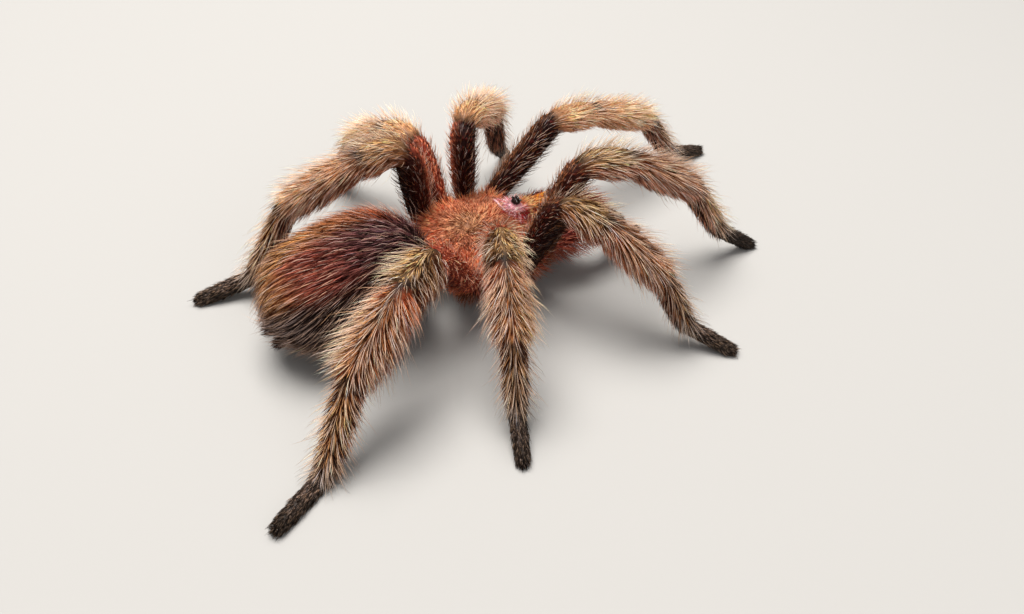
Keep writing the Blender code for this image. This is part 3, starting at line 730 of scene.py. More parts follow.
class Coat:
    """Hairs gathered for one piece, turned into one mesh at the end."""

    def __init__(self, name, slot, seed, ground):
        self.name, self.slot, self.ground = name, slot, ground
        self.random = np.random.default_rng(seed)
        self.points, self.faces, self.colours, self.uvs, self.count = [], [], [], [], 0

    def add(self, roots, outward, lie, uv, marks, shape):
        """Grows a tuft of hairs at each root, with (root, tip) colours and a shape.

        shape is (length, width, degrees of lift at the root, degrees at the tip, droop, bends,
        hairs to a tuft, tuft's half width, share of dark hairs).
        """
        length, width, lift, settle, droop, bends, tuft, spread, dark = shape
        rng, n = self.random, len(roots)
        lie = unit(lie - outward * dot(lie, outward))
        lie = unit(lie + np.cross(outward, lie) * rng.normal(0, WILD, (n, 1)))
        length = length * rng.uniform(0.8, 1.15, n)
        lift = lift * rng.uniform(0.8, 1.25, n)
        settle = settle * rng.uniform(0.5, 1.5, n)
        tone = rng.normal(0, TUFT_TONE, n)
        each = np.repeat(np.arange(n), tuft)
        n = len(each)
        roots, outward, lie, uv, root, tip = (values[each] for values in (roots, outward, lie, uv, *marks))
        length = length[each] * rng.uniform(0.72, 1.12, n)
        lift = np.radians(lift[each] * rng.uniform(0.85, 1.15, n))[:, None]
        settle = np.radians(settle[each] * rng.uniform(0.6, 1.4, n))[:, None]
        side = np.cross(outward, lie)
        offset = side * rng.uniform(-spread, spread, (n, 1)) + lie * rng.uniform(-spread, spread, (n, 1))
        start_way = lie * np.cos(lift) + outward * np.sin(lift)
        end_way = unit(lie * np.cos(settle) + outward * np.sin(settle) + DOWN * droop)
        end_way = unit(end_way + rng.normal(0, WILD, (n, 3)))
        triangles, stations, widths, shares, across = HAIR_SHAPES[bends]
        spine = [roots + offset - outward * SUNK]
        for number, share in enumerate(stations):
            blend = number / (len(stations) - 1)
            way = unit(start_way * (1 - blend) + end_way * blend)
            spine.append(spine[-1] + way * (share * length[:, None]) - offset * GATHER * share)
        corners = [spine[0]]
        for before, middle, after, thin in zip(spine, spine[1:], spine[2:], widths):
            up = np.cross(unit(after - before), side)
            for turn in np.radians((0, 120, 240)):
                reach = 0.5 * width * thin
                out, rise = np.cos(turn) * reach, np.sin(turn) * reach * FLATNESS
                corners.append(middle + side * out + up * rise)
        points = np.stack([*corners, spine[-1]], axis=1)
        points[..., 2] = np.maximum(points[..., 2], FLOOR_CLEARANCE + rng.uniform(0, 0.12, (n, 1)))
        k = points.shape[1]
        self.faces.append((np.arange(n)[:, None, None] * k + triangles + self.count).reshape(-1, 3))
        self.count += n * k
        self.points.append(points.reshape(-1, 3))
        tip = np.where(rng.uniform(0, 1, (n, 1)) < dark, root * 1.15, tip)
        tip = tip * np.exp(rng.normal(0, WARMTH, (n, 1)) * [0.6, 0.0, -1.0])
        streak = np.exp(tone[each] + rng.normal(0, HAIR_TONE, n))[:, None, None]
        shares = np.array(shares)[:, None]
        shades = root[:, None] * (1 - shares) + tip[:, None] * shares
        self.colours.append(np.clip(shades * streak, 0, 0.95).reshape(-1, 3))
        patch = np.stack([across, np.linspace(-1, 1, k)], axis=-1) * PATCH
        inside = np.clip(uv, UNWRAP_MARGIN, 1 - UNWRAP_MARGIN)
        self.uvs.append((inside[:, None] + patch).reshape(-1, 2))

    def build(self):
        made = finished_mesh(self.name, self.points, self.faces, self.colours, self.uvs)
        made.data.materials.append(coat_material(self.slot))
        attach(made, "root")
        print(f"{self.name}: {len(made.data.polygons)} triangles")
        return made


# ---- materials -----------------------------------------------------------------------------------
def set_inputs(node, values):
    for name, value in values.items():
        node.inputs[name].default_value = value


def new_material(name, values):
    """A material, its nodes and links, and its shader with some inputs set."""
    made = bpy.data.materials.new(name)
    made.use_nodes = True
    shader = made.node_tree.nodes["Principled BSDF"]
    set_inputs(shader, values)
    return made, made.node_tree.nodes, made.node_tree.links, shader


def noise(nodes, links, scale, detail=3.0):
    where = nodes.new("ShaderNodeTexCoord")
    made = nodes.new("ShaderNodeTexNoise")
    set_inputs(made, {"Scale": scale, "Detail": detail})
    links.new(where.outputs["Object"], made.inputs["Vector"])
    return made


def tinted_markings(nodes, links, shader, scale, darkest, lightest):
    """The markings, made a little lighter and darker from place to place."""
    marks = nodes.new("ShaderNodeVertexColor")
    marks.layer_name = "markings"
    clouds = noise(nodes, links, scale)
    ramp = nodes.new("ShaderNodeMapRange")
    set_inputs(ramp, {"From Min": 0.3, "From Max": 0.7, "To Min": darkest, "To Max": lightest})
    links.new(clouds.outputs["Fac"], ramp.inputs["Value"])
    scaled = nodes.new("ShaderNodeVectorMath")
    scaled.operation = "SCALE"
    links.new(marks.outputs["Color"], scaled.inputs[0])
    links.new(ramp.outputs["Result"], scaled.inputs["Scale"])
    links.new(scaled.outputs["Vector"], shader.inputs["Base Color"])


def coat_material(slot):
    """The hair's material for a slot, made once."""
    name = f"coat_{slot}"
    if name in bpy.data.materials:
        return bpy.data.materials[name]
    values = {"Roughness": 0.42, "Specular IOR Level": 0.11, "Specular Tint": (1.0, 0.72, 0.5, 1)}
    made, nodes, links, shader = new_material(name, values)
    tinted_markings(nodes, links, shader, 420.0, 0.8, 1.2)
    return made


def skin_material():
    made, nodes, links, shader = new_material("skin", {"Roughness": 0.5, "Specular IOR Level": 0.15})
    tinted_markings(nodes, links, shader, 650.0, 0.7, 1.15)
    grain = noise(nodes, links, 5200.0, 2.0)
    relief = nodes.new("ShaderNodeBump")
    set_inputs(relief, {"Strength": 0.35, "Distance": 0.00012})
    links.new(grain.outputs["Fac"], relief.inputs["Height"])
    links.new(relief.outputs["Normal"], shader.inputs["Normal"])
    return made


def glossy_material(name, dark_colour, light_colour, scale, roughness):
    values = {"Roughness": roughness, "Coat Weight": 0.6, "Coat Roughness": 0.05}
    made, nodes, links, shader = new_material(name, values)
    clouds = noise(nodes, links, scale)
    ramp = nodes.new("ShaderNodeValToRGB")
    for element, position, shade in zip(ramp.color_ramp.elements, (0.35, 0.75), (dark_colour, light_colour)):
        element.position = position
        element.color = (*shade, 1)
    links.new(clouds.outputs["Fac"], ramp.inputs["Fac"])
    links.new(ramp.outputs["Color"], shader.inputs["Base Color"])
    return made


# ---- skin ----------------------------------------------------------------------------------------
def limb_rings(limb):
    along = np.append(np.arange(0.0, limb.length, 0.4), limb.length - 0.02)
    along, angle = np.meshgrid(along, circle(24), indexing="ij")
    points = limb.surface(along, angle)[0]
    number, t = limb.part_at(along)
    colours = np.zeros(points.shape)
    for index, part in enumerate(limb.parts):
        here = number == index
        root, tip = limb_marks(limb, part, t[here], angle[here])
        colours[here] = 0.55 * root + 0.12 * tip
    return points, colours


def body_rings(surface, rows, sides, start=0.0, end=1.0, marks=None, tip_share=0.0):
    """Rings of a body surface, with the skin's colours if marks are given."""
    v, angle = np.meshgrid(np.linspace(start, end, rows), circle(sides), indexing="ij")
    u = angle / TURN
    points = surface(u, v)
    if marks is None:
        return points
    root, tip = marks(u, v, points)
    return points, 0.6 * root + tip_share * tip


def carapace_rings():
    """The back of the carapace, closed below by a rim and a floor."""
    rings, colours = body_rings(carapace_surface, 26, 64, start=0.02, marks=carapace_marks, tip_share=0.25)
    rings, colours = rings[::-1], colours[::-1]
    lower = rings[0] * [0.99, 0.99, 0] + [0, 0, CARAPACE_FLOOR + 0.45]
    floor = rings[0] * [0.9, 0.9, 0] + [0, 0, CARAPACE_FLOOR + 0.3]
    rings = np.concatenate([floor[None], lower[None], rings])
    colours = np.concatenate([colours[:1], colours[:1], colours])
    return rings[:, ::-1], colours[:, ::-1]


def sternum_rings():
    rings = body_rings(sternum_surface, 14, 40, end=0.99)
    top = rings[0] * [0.5, 0.5, 1] + [0, 0, 0.9]
    return np.concatenate([top[None], rings]), DARK_BROWN * 0.7


def waist_rings():
    """The narrow waist between carapace and abdomen."""
    share, angle = np.linspace(0, 1, 12)[:, None], circle(20)
    radius = 1.55 - 0.45 * np.sin(math.pi * share)
    rings = place(-7.6 - 5.2 * share, -0.35 * share + radius * np.cos(angle), 8.7 + radius * np.sin(angle))
    return rings, DARK_BROWN


def head_rings():
    """The head under the carapace's front, which carries the chelicerae."""
    share, angle = np.linspace(0, 1, 12)[:, None], circle(24)
    left = (4.4 - 0.8 * share) * signed_power(np.cos(angle), 0.8)
    up = 8.0 + (2.1 - 0.2 * share) * signed_power(np.sin(angle), 0.8)
    return place(4.6 + 5.6 * share, left, up), RED * 0.5


def mound_rings():
    """The low mound under the eyes, pink at its foot."""
    half_length, half_width, height = EYE_MOUND_SIZE
    turn, angle = np.radians((-30, -8, 10, 25, 40, 55, 70, 82))[:, None], circle(24)
    share = np.cos(np.maximum(turn, 0)) * 0.97
    ahead, left = EYE_MOUND_PLACE[0] + half_length * share * np.cos(angle), half_width * share * np.sin(angle)
    rings = place(ahead, left, EYE_SEAT + EYE_LIFT + np.sin(turn) * height * 0.95)
    foot = smooth(0.3, 0.1, np.linspace(0, 1, len(rings)))[:, None]
    return rings, mix(DARK, PINK * 0.7, foot)


def build_skin(limbs):
    """One skin: every closed form, melted together, with each point's colour taken from the nearest."""
    tubes = Tubes()
    for limb in limbs:
        tubes.add(*limb_rings(limb))
    tubes.add(*carapace_rings())
    tubes.add(*body_rings(abdomen_surface, 40, 48, 0.01, 0.99, abdomen_marks, 0.1))
    for outward in (-1, 1):
        tubes.add(body_rings(chelicera_surface(outward), 24, 24), RUST * 0.45)
        tubes.add(body_rings(spinneret_surface(outward), 20, 16), DARK_BROWN)
    for rings in (sternum_rings, waist_rings, head_rings, mound_rings):
        tubes.add(*rings())

    whole = turned_out(finished_mesh("skin", tubes.points, tubes.faces))
    melt = whole.modifiers.new("one_skin", "REMESH")
    melt.mode = "VOXEL"
    melt.voxel_size = VOXEL * MM
    melt.use_smooth_shade = True
    calm = whole.modifiers.new("calm", "SMOOTH")
    calm.factor = 0.5
    calm.iterations = 4
    graph = bpy.context.evaluated_depsgraph_get()
    mesh = bpy.data.meshes.new_from_object(whole.evaluated_get(graph))
    bpy.data.objects.remove(whole, do_unlink=True)
    mesh.name = "skin"

    world = np.concatenate(tubes.points) * MM + SHIFT
    tree = KDTree(len(world))
    for number, point in enumerate(world):
        tree.insert(point, number)
    tree.balance()
    co = np.zeros(len(mesh.vertices) * 3, np.float32)
    mesh.vertices.foreach_get("co", co)
    co = co.reshape(-1, 3)
    co[:, 2] = np.maximum(co[:, 2], 0.0)
    mesh.vertices.foreach_set("co", co.ravel())
    nearest = np.array([tree.find(point)[1] for point in co])
    paint(mesh, np.concatenate(tubes.colours)[nearest])
    mesh.polygons.foreach_set("use_smooth", np.ones(len(mesh.polygons), bool))
    mesh.update()
    mesh.materials.append(skin_material())
    print(f"skin: {len(mesh.polygons)} faces")
    return linked("skin", mesh)


# ---- growing the coat ----------------------------------------------------------------------------
class Ground:
    """The finished skin, for setting hair roots on it."""

    def __init__(self, skin):
        co = np.zeros(len(skin.data.vertices) * 3)
        skin.data.vertices.foreach_get("co", co)
        points = (co.reshape(-1, 3) - SHIFT) / MM
        polygons = [tuple(polygon.vertices) for polygon in skin.data.polygons]
        self.tree = BVHTree.FromPolygons([tuple(point) for point in points], polygons)

    def settle(self, roots):
        """Nearest skin points, and which roots were near enough to be on it."""
        found, good = np.array(roots), np.zeros(len(roots), bool)
        for number, root in enumerate(roots):
            hit = self.tree.find_nearest(root, ROOT_REACH)[0]
            if hit is not None:
                found[number], good[number] = hit, True
        return found, good


# What grows on each limb segment, for a whole leg: (hairs, length, width, lift, settle, splay,
# droop, bends, how much fewer below, hairs to a tuft, tuft's half width, share of dark hairs).
# splay turns the hair down the sides, in degrees.
SEGMENT_COATS = {
    "coxa": (
        (600, 1.5, 0.15, 40, 22, 10, 0.0, 1, 0.2, 3, 0.3, 0.6),
        (800, 3.6, 0.12, 52, 12, 12, 0.35, 2, 0.0, 3, 0.35, 0.1),
    ),
    "femur": (
        (1900, 1.2, 0.15, 26, 12, 8, 0.0, 1, 0.1, 3, 0.3, 0.4),
        (420, 2.6, 0.11, 44, 18, 14, 0.0, 2, 0.2, 1, 0.0, 0.35),
    ),
    "patella": (
        (1000, 1.3, 0.15, 24, 12, 20, 0.0, 1, 0.2, 3, 0.3, 0.9),
        (1000, 3.2, 0.12, 32, 10, 40, 0.2, 2, 0.1, 3, 0.35, 0.25),
    ),
    "tibia": (
        (1400, 1.3, 0.15, 24, 10, 24, 0.0, 1, 0.2, 3, 0.3, 0.9),
        (1700, 3.7, 0.12, 32, 11, 34, 0.12, 2, 0.1, 3, 0.35, 0.25),
    ),
    "metatarsus": (
        (1200, 1.1, 0.15, 24, 10, 18, 0.0, 1, 0.2, 3, 0.3, 0.95),
        (1150, 2.5, 0.115, 28, 11, 26, 0.08, 2, 0.1, 2, 0.3, 0.5),
    ),
    "tarsus": (
        (1800, 0.9, 0.12, 20, 10, 8, 0.0, 1, 0.0, 3, 0.2, 0.6),
        (260, 1.4, 0.11, 26, 10, 8, 0.0, 1, 0.3, 2, 0.2, 0.3),
    ),
}
# Long hairs standing clear of the coat: (hairs, length, lift).
SEGMENT_WISPS = {
    "femur": (70, 2.8, 50),
    "patella": (280, 4.7, 50),
    "tibia": (570, 5.4, 44),
    "metatarsus": (270, 4.4, 40),
}
PALP_FRINGE = (2600, 5.4, 0.1, 60, 30, 0, 0.5, 2, 0.0, 2, 0.3, 0.25)
EVEN_STEP = np.array([0.754877666, 0.569840296])  # the plane's golden step
TYPICAL_LENGTH = {"coxa": 6, "femur": 15.5, "patella": 8, "tibia": 12.5, "metatarsus": 13, "tarsus": 9}


def even_pairs(count, rng):
    """Pairs of shares that fill a square evenly, each a little off its place."""
    steps = np.arange(count)[:, None] * EVEN_STEP + rng.uniform(0, 1, 2)
    return ((steps + rng.normal(0, 0.35 / math.sqrt(count + 1), (count, 2))) % 1.0).T


def grow_on_limb(coat, limb, strip, part, recipe, wisps=False, strips=5):
    """Grows one layer on a limb's segment. On the unwrap each limb has a strip."""
    hairs, length, width, lift, settle, splay, droop, bends, below, tuft, spread, dark = recipe
    rng, index, looks_and_light = coat.random, limb.parts.index(part), LIMB_LOOKS_AND_LIGHT[limb.name]
    start, end = limb.cuts[index], limb.cuts[index + 1]
    size = ((end - start) / TYPICAL_LENGTH[part]) * (0.75 if limb.is_palp else 1.0)
    t, angle = even_pairs(int(int(hairs * size / tuft) / (1 - 0.4 * below)), rng)
    angle = angle * TURN
    kept = rng.uniform(0, 1, len(angle)) < 1 - below * smooth(0.1, 0.9, -np.sin(angle))
    t, angle = t[kept], angle[kept]
    if wisps:
        kept = rng.uniform(0, 1, len(angle)) < 0.3 + 0.7 * smooth(-0.5, 0.6, np.sin(angle))
        t, angle = t[kept], angle[kept]
    if recipe is PALP_FRINGE:
        kept = np.sin(angle) < 0.2
        t, angle = t[kept], angle[kept]
    roots, outward, way, around = limb.surface(start + (end - start) * t, angle)
    roots, good = coat.ground.settle(roots)
    roots, outward, way, around = (values[good] for values in (roots, outward, way, around))
    t, angle = t[good], angle[good]
    height = np.sin(angle)

    fan = looks_and_light[4] if part in ("patella", "tibia", "metatarsus") else 1.0
    parting = np.tanh(-np.cos(angle) * 5) * (0.35 + 0.65 * np.abs(np.cos(angle)))
    spray = 1 + 0.5 * smooth(0.35, 0.0, t) * (part == "tibia" and not wisps)
    lie = way + around * (np.tan(np.radians(splay * fan * spray)) * parting)[:, None]
    lift = lift * (1.0 if wisps else 0.65 + 0.35 * fan)
    length = np.full(len(t), length * (0.8 if limb.is_palp else limb.girth))
    if part != "tarsus":
        length *= 0.82 + 0.3 * np.sin(math.pi * t)
    root, tip = limb_marks(limb, part, t, angle)
    if (part == "femur" and bends == 2 or wisps) and not limb.is_palp:
        root, tip = mix(root, TAN, 0.2), mix(tip, WHITE, 0.55 if wisps else 0.35 * smooth(-0.5, 0.3, height))
    if part in ("patella", "tibia"):
        velvet = 0.0 if wisps else smooth(0.6, 0.97, height)
        length *= (0.65 + 0.35 * fan**0.5) * (1 - 0.25 * velvet)
        lift = lift * (1 - 0.35 * velvet)
        # Fewer dark hairs on legs whose paleness is painted light.
        dark = dark * (1 - 0.7 * looks_and_light[2])
    if part == "tibia" and not wisps:
        length *= 1 - 0.5 * smooth(0.5, 0.1, t) * smooth(0.85, 0.98, height)
        length *= 1 - 0.5 * smooth(0.12, 0.0, t) * smooth(0.2, 0.7, height)
    if part == "patella" and not wisps:
        length *= 1 - 0.65 * smooth(0.5, 0.85, t) * smooth(-0.1, 0.6, height)
    uv = np.stack([(strip + 0.03 + 0.94 * angle / TURN) / strips, t], axis=-1)
    shape = length, width, lift, settle, droop, bends, tuft, spread, dark
    coat.add(roots, outward, lie, uv, (root, tip), shape)


def grow_legs(limbs, ground):
    coats = []
    for half in ("left", "right"):
        for part in LEG_PARTS[1:]:
            slot = "tarsus_velvet" if part == "tarsus" else f"{part}_hair"
            coat = Coat(f"coat_{part}_{half}", slot, 11 + len(coats), ground)
            for strip, limb in enumerate(limb for limb in limbs if half in limb.name):
                if part not in limb.parts:
                    continue
                for recipe in SEGMENT_COATS[part]:
                    grow_on_limb(coat, limb, strip, part, recipe)
                if part == "femur" and limb.is_palp:
                    grow_on_limb(coat, limb, strip, part, PALP_FRINGE)
                if part in SEGMENT_WISPS:
                    hairs, length, lift = SEGMENT_WISPS[part]
                    recipe = (hairs, length, 0.085, lift, lift * 0.55, 32, 0.0, 2, 0.9, 1, 0.0, 0.0)
                    grow_on_limb(coat, limb, strip, part, recipe, wisps=True)
            coats.append(coat)
    return coats


def grow_on_surface(coat, surface, marks, spots, recipe, lie_of, box=(0, 0, 1, 1), first=0.0):
    """Grows one layer at (u, v) spots of a body surface, which has a box on the unwrap.

    recipe is a hair's shape, in which the length may be a function of v. lie_of gives the lie of
    the hair from (u, v, roots, the directions of growing v).
    """
    u, v = spots
    roots, outward, along = surface_frame(surface, u, v)
    roots, good = coat.ground.settle(roots)
    u, v, roots, outward, along = u[good], v[good], roots[good], outward[good], along[good]
    left, bottom, wide, tall = box
    uv = np.stack([left + wide * ((u - first) % 1.0), bottom + tall * v], axis=-1)
    length = recipe[0](v) if callable(recipe[0]) else recipe[0]
    coat.add(roots, outward, lie_of(u, v, roots, along), uv, marks(u, v, roots), (length, *recipe[1:]))


def grow_carapace(ground):
    coat = Coat("coat_carapace", "carapace_velvet", 41, ground)
    rng = coat.random

    def away_from(ahead, roots):
        return unit((roots - place(ahead, 0, 0)) * [1, 1, 0])

    def from_dimple(u, v, roots, along):
        flow = away_from(DIMPLE_AHEAD, roots)
        return flow + np.cross([0, 0, 1.0], flow) * bump(v, 0.25, 0.2)[:, None] * 0.9

    def from_eyes(u, v, roots, along):
        return away_from(EYE_MOUND_PLACE[0], roots)

    def clear_of_eyes(count, farthest=99.0):
        u, v = rng.uniform(0, 1, count), np.sqrt(rng.uniform(0, 1, count))
        point = carapace_surface(u, v)
        away = np.hypot((-point[:, 1] - EYE_MOUND_PLACE[0]) / 0.95, point[:, 0] / 1.15)
        keep = (away > 1.0) & (away < farthest)
        return u[keep], v[keep]

    def strand_marks(u, v, roots):
        ahead = -roots[:, 1] - EYE_MOUND_PLACE[0]
        pale = rng.uniform(0, 1, (len(roots), 1)) < 0.5
        strand = np.where(pale, mix(PINK, WHITE, 0.4), CRIMSON * 1.3)
        strand = mix(strand, mix(GOLD, CREAM, 0.6), smooth(0.6, 1.6, ahead))
        share = 0.25 + 0.6 * smooth(-2.2, -1.2, ahead)
        return over(carapace_marks(u, v, roots), strand * 0.6, strand, 0.6 * share, share)

    fine = (lambda v: 0.85 + 0.35 * v**3, 0.12, 28, 12, 0.0, 1, 3, 0.2, 0.55)
    longer = (lambda v: 1.5 + 0.9 * smooth(0.8, 1.0, v), 0.1, 34, 14, 0.0, 1, 2, 0.2, 0.3)
    for count, recipe in ((3200, fine), (2600, longer)):
        grow_on_surface(coat, carapace_surface, carapace_marks, clear_of_eyes(count), recipe, from_dimple)
    strands = (1.8, 0.09, 26, 10, 0.0, 2, 1, 0.0, 0.0)
    grow_on_surface(coat, carapace_surface, strand_marks, clear_of_eyes(11000, 2.7), strands, from_eyes)
    rim = rng.uniform(0, 1, 1100), 1 - rng.uniform(0, 0.03, 1100)
    fringe = (2.1, 0.12, 34, 6, 0.2, 2, 3, 0.3, 0.15)
    grow_on_surface(coat, carapace_surface, carapace_marks, rim, fringe, from_dimple)
    return coat


def grow_abdomen(ground):
    """The abdomen's coat, a piece for each half, which fills its own unwrap."""
    def pale_marks(u, v, roots):
        share = 0.45 + 0.1 * smooth(-0.9, -0.1, np.sin(TURN * u))
        root, tip = abdomen_marks(u, v, roots)
        return root, mix(tip, mix(WHITE, PINK_TAN, 0.4), share)

    def back_and_down(u, v, roots, along):
        side = np.abs(np.cos(TURN * u))[:, None]
        return along + DOWN * 0.42 * side * np.sin(math.pi * np.clip(v, 0, 0.8))[:, None]

    def spots(rng, start, count, low_share=0.0):
        along, round_share = even_pairs(count, rng)
        v = np.arccos(1 - 2 * (0.004 + 0.992 * along)) / math.pi
        u = start + 0.5 * round_share
        keep = rng.uniform(0, 1, count) > low_share * smooth(0.1, 0.8, np.sin(TURN * u))
        return u[keep], v[keep]

    def outer_length(v):
        return 4.6 - 1.3 * smooth(0.3, 0.05, v) - 0.8 * smooth(0.85, 1.0, v)

    under = (1.9, 0.16, 26, 12, 0.0, 1, 3, 0.4, 0.7)
    outer = (outer_length, 0.1, 30, 12, 0.08, 2, 3, 0.4, 0.45)
    stray = (5.6, 0.1, 40, 14, 0.16, 2, 1, 0.0, 0.0)
    coats = []
    for half, start in (("left", -0.25), ("right", 0.25)):
        coat = Coat(f"coat_abdomen_{half}", "abdomen_hair", 51 + len(coats), ground)
        unwrap = back_and_down, (0.0, 0.0, 2.0, 1.0), start
        under_spots, outer_spots = spots(coat.random, start, 1270), spots(coat.random, start, 2250)
        grow_on_surface(coat, abdomen_surface, abdomen_marks, under_spots, under, *unwrap)
        grow_on_surface(coat, abdomen_surface, abdomen_marks, outer_spots, outer, *unwrap)
        stray_spots = spots(coat.random, start, 2400, 0.7)
        grow_on_surface(coat, abdomen_surface, pale_marks, stray_spots, stray, *unwrap)
        coats.append(coat)
    return coats


def grow_underside(limbs, ground):
    coat = Coat("coat_underside", "underside_velvet", 61, ground)
    rng = coat.random
    # The ten coxae fill 0.8 of the unwrap's width, beside the sternum and the spinnerets.
    for strip, limb in enumerate(limbs):
        for recipe in SEGMENT_COATS["coxa"]:
            grow_on_limb(coat, limb, strip, "coxa", recipe, strips=12.5)

    def dark_marks(u, v, roots):
        return np.broadcast_to(DARK, roots.shape), np.broadcast_to(DARK_BROWN, roots.shape)

    def backward(u, v, roots, along):
        return np.broadcast_to([0, 1.0, -0.15], roots.shape)

    on_sternum = (1.1, 0.11, 26, 12, 0.0, 1, 3, 0.2, 0.3)
    on_spinneret = (1.5, 0.1, 26, 12, 0.0, 1, 1, 0.0, 0.2)
    for surface, count, start, end, recipe, bottom, tall in (
        (sternum_surface, 900, 0.15, 0.98, on_sternum, 0.0, 0.45),
        (spinneret_surface(-1), 420, 0.45, 1.0, on_spinneret, 0.5, 0.2),
        (spinneret_surface(1), 420, 0.45, 1.0, on_spinneret, 0.75, 0.2),
    ):
        spots = rng.uniform(0, 1, count), rng.uniform(start, end, count)
        grow_on_surface(coat, surface, dark_marks, spots, recipe, backward, (0.82, bottom, 0.17, tall))
    return coat


def grow_chelicerae(ground):
    coat = Coat("coat_chelicerae", "chelicera_hair", 71, ground)
    rng = coat.random

    def along_and_ahead(u, v, roots, along):
        return along + [0, -0.25, 0]

    fine = (1.2, 0.12, 24, 10, 0.0, 1, 3, 0.25, 0.3)
    longer = (2.1, 0.11, 32, 12, 0.0, 2, 2, 0.25, 0.2)
    for outward, left in ((-1, 0.0), (1, 0.5)):
        surface, box = chelicera_surface(outward), (left, 0.0, 0.48, 1.0)
        for count, recipe in ((800, fine), (450, longer)):
            spots = rng.uniform(0, 1, count), rng.uniform(0.03, 0.97, count)
            grow_on_surface(coat, surface, chelicera_marks, spots, recipe, along_and_ahead, box)
    return coat


# ---- eyes, fangs and claws -----------------------------------------------------------------------
def hard_piece(name, tubes, material):
    piece = turned_out(finished_mesh(name, tubes.points, tubes.faces))
    piece.data.materials.append(material)
    return piece


# The four pairs of eyes on their mound: shares of its half length, half width and height, and the
# radius of the eye.
EYE_PAIRS = (
    (0.34, 0.3, 0.9, 0.27),
    (0.6, 0.6, 0.6, 0.25),
    (-0.24, 0.68, 0.62, 0.23),
    (-0.3, 0.42, 0.82, 0.18),
)


def ball_rings(middle, radius, rows=14, sides=20):
    turn, angle = np.linspace(0.06, math.pi - 0.06, rows)[:, None], circle(sides)
    parts = np.sin(turn) * np.cos(angle), np.sin(turn) * np.sin(angle), -np.cos(turn)
    return middle + np.stack(np.broadcast_arrays(*parts), axis=-1) * radius


def build_eyes():
    half_length, half_width, height = EYE_MOUND_SIZE
    balls = Tubes()
    for ahead, out, up, radius in EYE_PAIRS:
        for side in (-1, 1):
            ahead_here, up_here = EYE_MOUND_PLACE[0] + ahead * half_length, EYE_SEAT + EYE_LIFT + up * height
            balls.add(ball_rings(place(ahead_here, side * out * half_width, up_here), radius))
    black = glossy_material("eye_black", (0.006, 0.005, 0.006), (0.03, 0.018, 0.012), 900.0, 0.08)
    return hard_piece("eyes", balls, black)


def curved_horn(middle, way, axis, curl, length, radius, tip_radius, rows=14, sides=14):
    """Rings of a tapering horn that curls round an axis by some degrees."""
    rings = []
    step, angle = math.radians(curl) / (rows - 1), circle(sides)[:, None]
    for share in np.linspace(0, 1, rows):
        size = (radius * (1 - share) + tip_radius * share) * (1 if share < 1 else 0.5)
        rings.append(middle + (axis * np.cos(angle) + np.cross(way, axis) * np.sin(angle)) * size)
        middle = middle + way * (length / (rows - 1))
        way = unit(way * math.cos(step) + np.cross(axis, way) * math.sin(step))
    return np.array(rings)


def build_fangs(horn):
    horns = Tubes()
    for outward in (-1, 1):
        root = place(FANG_ROOT[0], outward * FANG_ROOT[1], FANG_ROOT[2])
        way, axis = unit(direction(0, FANG_START)), place(0, 1, 0)
        horns.add(curved_horn(root, way, axis, FANG_CURL, FANG_LENGTH * 0.98, FANG_RADIUS * 0.95, 0.12))
    return hard_piece("fangs", horns, horn)


def build_claws(limbs, horn):
    """Two small claws at the tip of each leg and one on each palp."""
    horns = Tubes()
    for limb in limbs:
        point, way, across, upward = (value[0] for value in limb.frame_at(np.array([limb.length - 0.75])))
        for side in (0,) if limb.is_palp else (-1, 1):
            start = point + across * (0.28 * side) + upward * 0.35
            aim = unit(way + upward * 0.55 + across * 0.25 * side)
            horns.add(curved_horn(start, aim, unit(across), 75, 1.15, 0.13, 0.035, 9, 8))
    return hard_piece("claws", horns, horn)


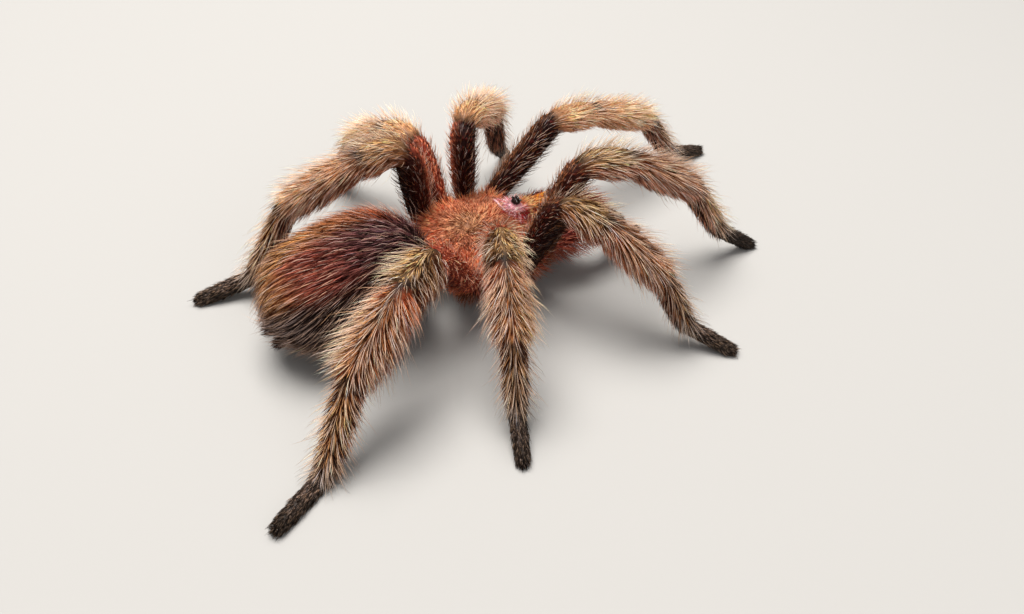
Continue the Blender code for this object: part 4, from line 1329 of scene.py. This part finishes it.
# ---- the spider ----------------------------------------------------------------------------------
def build_spider():
    limbs = all_limbs()
    skin = build_skin(limbs)
    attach(skin, "root")
    flesh = [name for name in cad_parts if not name.startswith("fang")]
    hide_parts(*flesh)
    ground = Ground(skin)
    coats = grow_legs(limbs, ground) + grow_abdomen(ground)
    coats += [grow_carapace(ground), grow_underside(limbs, ground), grow_chelicerae(ground)]
    total = sum(len(coat.build().data.polygons) for coat in coats)
    print(f"coat: {total} triangles")
    eyes = build_eyes()
    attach(eyes, "root")
    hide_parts("eye_mound")
    horn = glossy_material("fang_horn", (0.008, 0.005, 0.004), (0.05, 0.018, 0.01), 700.0, 0.2)
    fangs = build_fangs(horn)
    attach(fangs, "root")
    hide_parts("fang_left", "fang_right")
    claws = build_claws(limbs, horn)
    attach(claws, "root")


# ---- studio --------------------------------------------------------------------------------------
CAMERA_PLACE = (-55.15, -111.16, 105.28)  # ahead, left, up from the carapace, millimetres
CAMERA_LEVEL_WAY = (0.48369, 0.87524)  # ahead and left
CAMERA_PITCH = 42.604
CAMERA_LENS = 31.82
FLOOR_HALF = 900


def aimed(name, data, location, way):
    """An object in the scene that looks along a direction."""
    made = linked(name, data)
    made.location = location
    made.rotation_mode = "QUATERNION"
    made.rotation_quaternion = Vector(way).to_track_quat("-Z", "Y")
    return made


def build_studio():
    half = FLOOR_HALF
    corners = np.array([[-half, -half, 0], [half, -half, 0], [half, half, 0], [-half, half, 0]], float)
    floor = finished_mesh("floor", [corners], [np.array([[0, 1, 2, 3]])], smooth_faces=False)
    values = {"Base Color": (0.42, 0.412, 0.4, 1), "Roughness": 0.9}
    floor.data.materials.append(new_material("floor_paper", values)[0])
    floor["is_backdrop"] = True

    for name, energy, size, location, tint in (
        ("key", 10.5, 0.5, (0.16, 0.02, 0.72), (1.0, 0.97, 0.93)),
        ("fill", 0.8, 0.5, (-0.5, -0.1, 0.4), (0.97, 0.98, 1.0)),
    ):
        light = bpy.data.lights.new(name, "AREA")
        light.energy = energy
        light.size = size
        light.color = tint
        aimed(name, light, location, -Vector(location))
    world = bpy.data.worlds.new("studio")
    world.use_nodes = True
    set_inputs(world.node_tree.nodes["Background"], {"Color": (1.0, 0.99, 0.98, 1), "Strength": 0.27})
    SCENE.world = world
    SCENE.view_settings.view_transform = "Standard"

    lens = bpy.data.cameras.new("camera")
    lens.sensor_width = 36.0
    lens.lens = CAMERA_LENS
    lens.clip_start = 0.005
    lens.clip_end = 20.0
    pitch = math.radians(CAMERA_PITCH)
    ahead, left = (part * math.cos(pitch) for part in CAMERA_LEVEL_WAY)
    way = place(ahead, left, -math.sin(pitch))
    SCENE.camera = aimed("camera", lens, place(*CAMERA_PLACE) * MM + SHIFT, way)


build_spider()
build_studio()

low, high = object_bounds()
